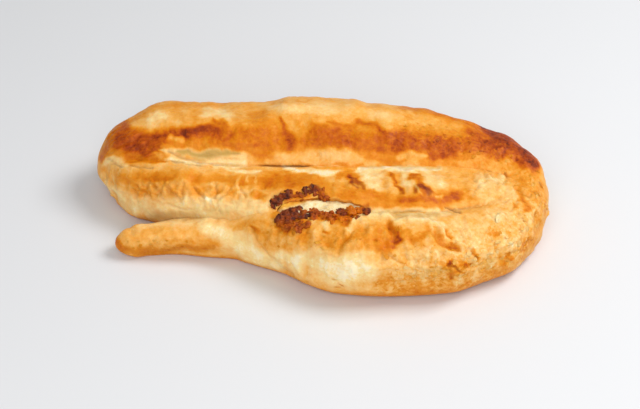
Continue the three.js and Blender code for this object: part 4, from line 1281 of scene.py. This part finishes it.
# Each clump is what it is, how many lumps, their least and greatest radius, how high they sit, their
# browning and their char, and the places that it runs through on the slanted plan, with its half-width.
LOWER_LIP_CLUMPS = [
    (
        "dark heap", 46, (1.2, 2.3), 0.4, 0.93, 0.68,
        [(-19, 3.5, 1.4), (-16, 5, 1.9), (-11, 6.5, 1.7), (-7, 6, 1.4)],
    ),
    ("top of the heap", 20, (1.0, 1.9), 1.2, 0.93, 0.75, [(-13, 6.5, 0.9), (-11, 7, 0.9), (-8, 7, 0.9)]),
    (
        "dark flecks of the heap", 14, (0.8, 1.5), 0.7, 0.93, 0.75,
        [(-10, 5.5, 0.9), (-7, 4.5, 1.2), (-5, 5.5, 0.7)],
    ),
    ("orange strands of the heap", 8, (0.6, 1.2), 0.6, 0.74, 0.0, [(-11, 6, 0.7), (-8, 5.5, 0.9)]),
    (
        "red-brown foot of the heap", 40, (1.1, 2.0), 0.0, 0.86, 0.3,
        [(-19, 2, 1.4), (-14, 0.5, 1.7), (-8, 1.5, 1.7)],
    ),
    ("red-brown middle", 40, (0.9, 1.7), 0.8, 0.86, 0.25, [(-6, 6, 0.9), (0, 5, 1), (6, 4.5, 1)]),
    ("orange skirt", 18, (0.9, 1.4), -0.2, 0.78, 0.0, [(-2, 4, 0.9), (5, 3, 0.9), (11, 2.5, 1.7)]),
    ("dark crumbs", 16, (0.9, 1.7), 0.3, 0.92, 0.5, [(8, 6.5, 0.9), (11, 6, 0.9)]),
    ("orange crumbs", 34, (1.0, 1.7), 1.3, 0.8, 0.05, [(12, 6, 0.9), (15, 7, 1.2), (18, 6.5, 0.9)]),
    ("dark line", 8, (0.6, 1.0), 0.1, 0.9, 0.5, [(13, 4.5, 0.5), (17, 4.5, 0.5)]),
    ("dark end", 20, (0.9, 1.7), 1.0, 0.92, 0.6, [(19, 8.5, 0.7), (20, 7.5, 0.9), (20, 6, 0.5)]),
]
UPPER_LIP_CLUMPS = [
    (
        "dark left end", 36, (1.1, 2.0), 0.0, 0.93, 0.7,
        [(-22, 9, 0.4), (-21, 11.5, 0.9), (-19, 13, 1.7), (-17, 14, 1.4)],
    ),
    (
        "red-brown edge", 24, (0.8, 1.5), -0.2, 0.89, 0.35,
        [(-16, 15, 0.9), (-12, 14.5, 0.9), (-8, 14.5, 0.9)],
    ),
    ("dark middle", 24, (0.9, 1.7), 0.0, 0.93, 0.7, [(-8, 15.5, 0.9), (-6, 16.5, 1), (-2, 17.5, 0.9)]),
    (
        "red-brown right end", 24, (0.9, 1.6), 0.0, 0.87, 0.3,
        [(-3, 16.5, 1.2), (-1, 15, 1.3), (2, 13.5, 0.7)],
    ),
]
LUMP_GRID = (7, 10)  # rings and sides of a lump
LUMP_SUNK = 0.4  # how much of a lump's radius is sunk in the crust
CRAG_GRAIN = 0.3  # size of the cubes that the crags' skin is drawn in
CRAG_ROUGHNESS = [(0.75, 2.1, 81), (0.35, 0.9, 84)]  # how far it is crumpled, over what size, and the seed
CRAG_MOTTLE, CRAG_MOTTLE_SIZE, CRAG_MOTTLE_SEED = 0.08, 1.1, 87  # of its browning
CHAR_MOTTLE, CHAR_MOTTLE_SIZE, CHAR_MOTTLE_SEED = 0.6, 1.4, 88  # of its char, as a share
CRAG_CONTRAST = 0.06  # how much paler it is a millimetre further out
STRAY_WEIGHT = 1e-12  # of every lump, so that a place far from all of them has a paint too
CLUMP_SPREAD = 0.7  # of the lumps across a stroke, as a share of its half-width
FACES_FRONT = 0.1  # least cosine to the front of the crust that lumps and flakes sit on
CHANCE_SEED = 7
chance = np.random.default_rng(CHANCE_SEED)


def scattered_along(path, count):
    """Places in a stroke, by even chance along it and a bell-shaped chance across it."""
    path = np.array(path, float)
    run = np.append(0, np.cumsum(np.linalg.norm(np.diff(path[:, :2], axis=0), axis=1)))
    along = chance.uniform(0, run[-1], count)
    line = np.column_stack([np.interp(along, run, path[:, k]) for k in range(3)])
    return line[:, :2] + chance.normal(0, CLUMP_SPREAD, (count, 2)) * line[:, 2:]


def seat_on(crust, plan):
    """Crust grid points nearest to places on the slanted plan, of those that face the look: their numbers."""
    facing = np.flatnonzero((skin_directions(crust) @ TOWARDS_FRONT).ravel() > FACES_FRONT)
    seats = slanted(crust).reshape(-1, 2)[facing]
    return facing[((seats**2).sum(1) - 2 * plan @ seats.T).argmin(1)]


def lump_middles(crust, path, count, sizes, lift):
    """Middles and radii of lumps that sit along a stroke on the crust, a little sunk in it."""
    at = seat_on(crust, scattered_along(path, count))
    radius = sizes[0] + (sizes[1] - sizes[0]) * chance.uniform(0, 1, count) ** 2
    outward = skin_directions(crust).reshape(-1, 3)[at]
    return crust.reshape(-1, 3)[at] + outward * (lift - LUMP_SUNK * radius)[:, None], radius


def burnt_crust(name, middles, radii, levels):
    """One rough crust round lumps that overlap: a skin drawn in small cubes, and crumpled along its normals.

    Each place takes the paint of the lumps near it, weighed by a bell curve of their distance.
    """
    unit = egg_points(np.array([2, 2, 2]), np.zeros(3), *LUMP_GRID)
    crags = closed_mesh(name, middles[:, None, None] + unit * radii[:, None, None, None])
    skin = crags.modifiers.new("skin", "REMESH")
    skin.mode = "VOXEL"
    skin.voxel_size = CRAG_GRAIN * MM
    bpy.context.view_layer.objects.active = crags
    bpy.ops.object.modifier_apply(modifier=skin.name)
    points, outward = (np.empty(3 * len(crags.data.vertices), np.float32) for _ in range(2))
    crags.data.vertices.foreach_get("co", points)
    crags.data.vertex_normals.foreach_get("vector", outward)
    points = points.reshape(-1, 3).astype(float) / MM
    rough = sum(push * crumpled(points / size, seed) for push, size, seed in CRAG_ROUGHNESS)
    apart = (points**2).sum(1)[:, None] + (middles**2).sum(1) - 2 * points @ middles.T
    weight = np.exp(-apart) + STRAY_WEIGHT
    paint = weight @ levels / weight.sum(1, keepdims=True)
    paint[:, 0] += CRAG_MOTTLE * soft_noise(points / CRAG_MOTTLE_SIZE, CRAG_MOTTLE_SEED)
    paint[:, 0] -= CRAG_CONTRAST * rough
    paint[:, 3] *= 1 + CHAR_MOTTLE * soft_noise(points / CHAR_MOTTLE_SIZE, CHAR_MOTTLE_SEED)
    points += outward.reshape(-1, 3) * rough[:, None]
    crags.data.vertices.foreach_set("co", (points * MM).astype(np.float32).ravel())
    lay_paint(crags.data, np.clip(paint, 0, 1))
    return crags


middles, radii, levels = [], [], []
for crust, clumps in ((outer_crust, LOWER_LIP_CLUMPS), (inner_crust, UPPER_LIP_CLUMPS)):
    for _, count, sizes, lift, bake, char, path in clumps:
        middle, radius = lump_middles(crust, path, count, sizes, lift)
        middles.append(middle)
        radii.append(radius)
        levels.append(plain_paint(middle, bake, char))
burnt_crags = burnt_crust("burnt_crags", np.vstack(middles), np.concatenate(radii), np.vstack(levels))
finish_piece(burnt_crags, filo, "pastry_roll")

# Loose flakes
# Shards of the outermost leaf that baked crisp and broke: thin scales, most of them 1 to 3 mm across, that
# are baked onto the crust, dished and tipped up a little.

# Each field is what it is, how many, their least and greatest radius, and the places that it runs through
# on the slanted plan, with its half-width there.
FLAKE_FIELDS = [
    ("right front", 90, (0.6, 1.6), [(35, -21.5, 4.7), (52, -17, 9.5), (75, -10.5, 10.4), (93, 0, 7.6)]),
    ("right end", 26, (0.6, 1.4), [(97, 23, 4.7), (101, 9.5, 4.7)]),
    ("crown, right", 44, (0.5, 1.2), [(42, 48, 4.7), (60, 42, 6.6), (84, 35.5, 6.6)]),
    ("tail", 20, (0.5, 1.1), [(-91, -9, 2.8), (-55, -9, 2.8)]),
    ("front arm", 20, (0.6, 1.6), [(-23, -5, 3.8), (4, -6, 6.6), (34, -7.5, 6.6)]),
    (
        "grains of the low side", 110, (0.5, 1.1),
        [(36, -23.5, 2.4), (50, -21, 4.3), (62, -18, 4.3), (77, -14, 3.3)],
    ),
]
# Larger flakes one by one: what it is, its place on the slanted plan, its half-length and half-width, its
# turn, how far it is tipped up, and its browning.
SINGLE_FLAKES = [
    ("lifted leaf at the seam", (60, 7), (5.0, 1.3), -0.9, 0.5, 0.3),
    ("torn bit of the low edge", (5, -24), (1.3, 0.8), 0.3, 0.7, 0.4),
    ("second torn bit", (7, -26), (1.6, 0.9), -0.4, 0.7, 0.36),
    ("third torn bit", (9, -25.5), (1.2, 0.7), 0.9, 0.6, 0.44),
    ("pale leaf of the inner end", (77, 21), (2.6, 0.9), 0.1, 0.35, 0.14),
    ("standing leaf of the inner end", (83, 22), (2.2, 1.0), 1.5, 0.35, 0.14),
    ("leaf of the right front", (78, 3.5), (2.4, 0.8), 1.3, 0.35, 0.18),
    ("second leaf of the right front", (83, 4), (2.2, 0.8), 1.2, 0.35, 0.2),
]
FLAKE_GRID = (4, 8)  # rings and sides of a flake
FLAKE_THICKNESS = 0.2
FLAKE_DISH = 0.15  # rise of the rim, as a share of the half-width
FLAKE_RAGGED, FLAKE_RAGGED_SCALE = 0.5, 1.3  # unevenness of the rim, and how often it turns in and out
FLAKE_APART = 5.3  # in the noise, so that no two rims are alike
FLAKE_SLIMNESS = (0.5, 0.9)  # width as a share of length
FLAKE_TIP = 0.15  # how far most are tipped up, in radians
FLAKE_BROWNING = (0.08, 0.06)  # how much browner than the crust they are, and how much that varies
FLAKE_LEAST_HEIGHT = 3.0  # above the tray
FIELD_SEED, SINGLE_SEED = 91, 92


def flakes(places, outward, sizes, turns, tips, seed):
    """Thin scales: flat eggs with ragged rims, dished upwards, turned on the crust and tipped up from it."""
    unit = egg_points(np.array([2, 2, 2]), np.zeros(3), *FLAKE_GRID)
    key = unit[None] + FLAKE_APART * np.arange(len(places))[:, None, None, None]
    ragged = unit[None] * (1 + FLAKE_RAGGED * soft_noise(FLAKE_RAGGED_SCALE * key, seed))[..., None]
    flat = ragged[..., :2] * sizes[:, None, None]
    dish = FLAKE_DISH * (ragged[..., :2] ** 2).sum(-1) * sizes[:, 1, None, None]
    height = FLAKE_THICKNESS / 2 * unit[None, ..., 2] + dish
    guide = np.column_stack([np.cos(turns), np.sin(turns), 0 * turns])
    first = unit_directions(guide - (guide * outward).sum(1, keepdims=True) * outward)
    second = np.cross(outward, first)
    lean, stand = np.sin(tips)[:, None], np.cos(tips)[:, None]
    axes = [first, second * stand + outward * lean, outward * stand - second * lean]
    moves = [flat[..., 0], flat[..., 1], height]
    shape = sum(move[..., None] * axis[:, None, None] for move, axis in zip(moves, axes))
    return places[:, None, None] + shape


crust_points, crust_paint = outer_crust.reshape(-1, 3), outer_paint.reshape(-1, PAINT_LAYERS)
crust_outward = skin_directions(outer_crust).reshape(-1, 3)
bears_flakes = (crust_outward @ TOWARDS_FRONT > FACES_FRONT) & (crust_points[:, 2] > FLAKE_LEAST_HEIGHT)
flake_points, flake_browning = [], []
for _, count, (least, most), path in FLAKE_FIELDS:
    in_field = (stroke_reach(slanted(crust_points), path) < 1) & bears_flakes
    at = chance.choice(np.flatnonzero(in_field), count, replace=False)
    size = least + (most - least) * chance.uniform(0, 1, count) ** 2
    sizes = np.column_stack([size, size * chance.uniform(*FLAKE_SLIMNESS, count)])
    turns, tips = chance.uniform(0, 2 * math.pi, count), chance.normal(0, FLAKE_TIP, count)
    flake_points.append(flakes(crust_points[at], crust_outward[at], sizes, turns, tips, FIELD_SEED))
    flake_browning.append(crust_paint[at, 0] + chance.normal(*FLAKE_BROWNING, count))
_, plan, sizes, turns, tips, browning = (np.array(values) for values in zip(*SINGLE_FLAKES))
at = seat_on(outer_crust, plan)
flake_points.append(flakes(crust_points[at], crust_outward[at], sizes, turns, tips, SINGLE_SEED))
flake_browning.append(browning)
flake_points = np.concatenate(flake_points)
flake_paint = np.zeros((*flake_points.shape[:3], PAINT_LAYERS))
flake_paint[..., 0] = np.concatenate(flake_browning)[:, None, None]
loose_flakes = closed_mesh("loose_flakes", flake_points, flake_paint)
finish_piece(loose_flakes, filo, "pastry_roll")

# Floor, light and camera
# A plain pale floor under soft studio light: a lamp high at the right, a broader and weaker one at the
# front, and a pale surrounding. The camera looks along +Y, 37 degrees down, with a long lens.
FLOOR_SIZE = 3.0
FLOOR_COLOUR = "#DFE0E2"
floor_mesh = bpy.data.meshes.new("floor")
half = FLOOR_SIZE / 2
floor_corners = [(-half, -half, 0), (half, -half, 0), (half, half, 0), (-half, half, 0)]
floor_mesh.from_pydata(floor_corners, [], [(0, 1, 2, 3)])
floor = bpy.data.objects.new("floor", floor_mesh)
bpy.context.scene.collection.objects.link(floor)
pale_floor, floor_output = new_material("pale_floor")
floor_shader = add_node(
    pale_floor.node_tree, "ShaderNodeBsdfPrincipled",
    {"Base Color": linear(FLOOR_COLOUR), "Roughness": 0.6},
)
pale_floor.node_tree.links.new(floor_shader.outputs[0], floor_output.inputs["Surface"])
floor.data.materials.append(pale_floor)

# The colours are shown plainly, as a studio photograph shows them.
bpy.context.scene.view_settings.view_transform = "Standard"

SURROUNDING = 0.4
world = bpy.data.worlds.new("pale_surrounding")
world.use_nodes = True
world.node_tree.nodes["Background"].inputs["Color"].default_value = linear("#FFFFFF")
world.node_tree.nodes["Background"].inputs["Strength"].default_value = SURROUNDING
bpy.context.scene.world = world

# Each lamp's name, place, width and power.
LAMPS = [
    ("key_lamp", (0.6, 0.1, 0.8), 0.45, 6.7),
    ("fill_lamp", (-0.1, -0.9, 0.65), 0.7, 6.0),
]
LAMP_TARGET = np.array([0.0, 0.0, 0.02])
for lamp_name, lamp_place, lamp_size, lamp_power in LAMPS:
    lamp_data = bpy.data.lights.new(lamp_name, "AREA")
    lamp_data.size = lamp_size
    lamp_data.energy = lamp_power
    lamp = bpy.data.objects.new(lamp_name, lamp_data)
    lamp.location = lamp_place
    towards = Vector(LAMP_TARGET - np.array(lamp_place))
    lamp.rotation_mode = "QUATERNION"
    lamp.rotation_quaternion = towards.to_track_quat("-Z", "Y")
    bpy.context.scene.collection.objects.link(lamp)

CAMERA_DISTANCE = 0.8
CAMERA_TARGET = np.array([-0.86, -3.11, 15.0]) * MM
PICTURE_WIDTH = 640  # in pixels
PIXELS_PER_MM = 2.15  # at the target
camera_data = bpy.data.cameras.new("camera")
camera_data.sensor_fit = "HORIZONTAL"
camera_data.sensor_width = 36.0
camera_data.lens = camera_data.sensor_width * PIXELS_PER_MM * CAMERA_DISTANCE / MM / PICTURE_WIDTH
camera = bpy.data.objects.new("camera", camera_data)
camera.location = CAMERA_TARGET + CAMERA_DISTANCE * TOWARDS_FRONT
camera.rotation_euler = (math.pi / 2 - LOOK_DOWN, 0, 0)
bpy.context.scene.collection.objects.link(camera)
bpy.context.scene.camera = camera
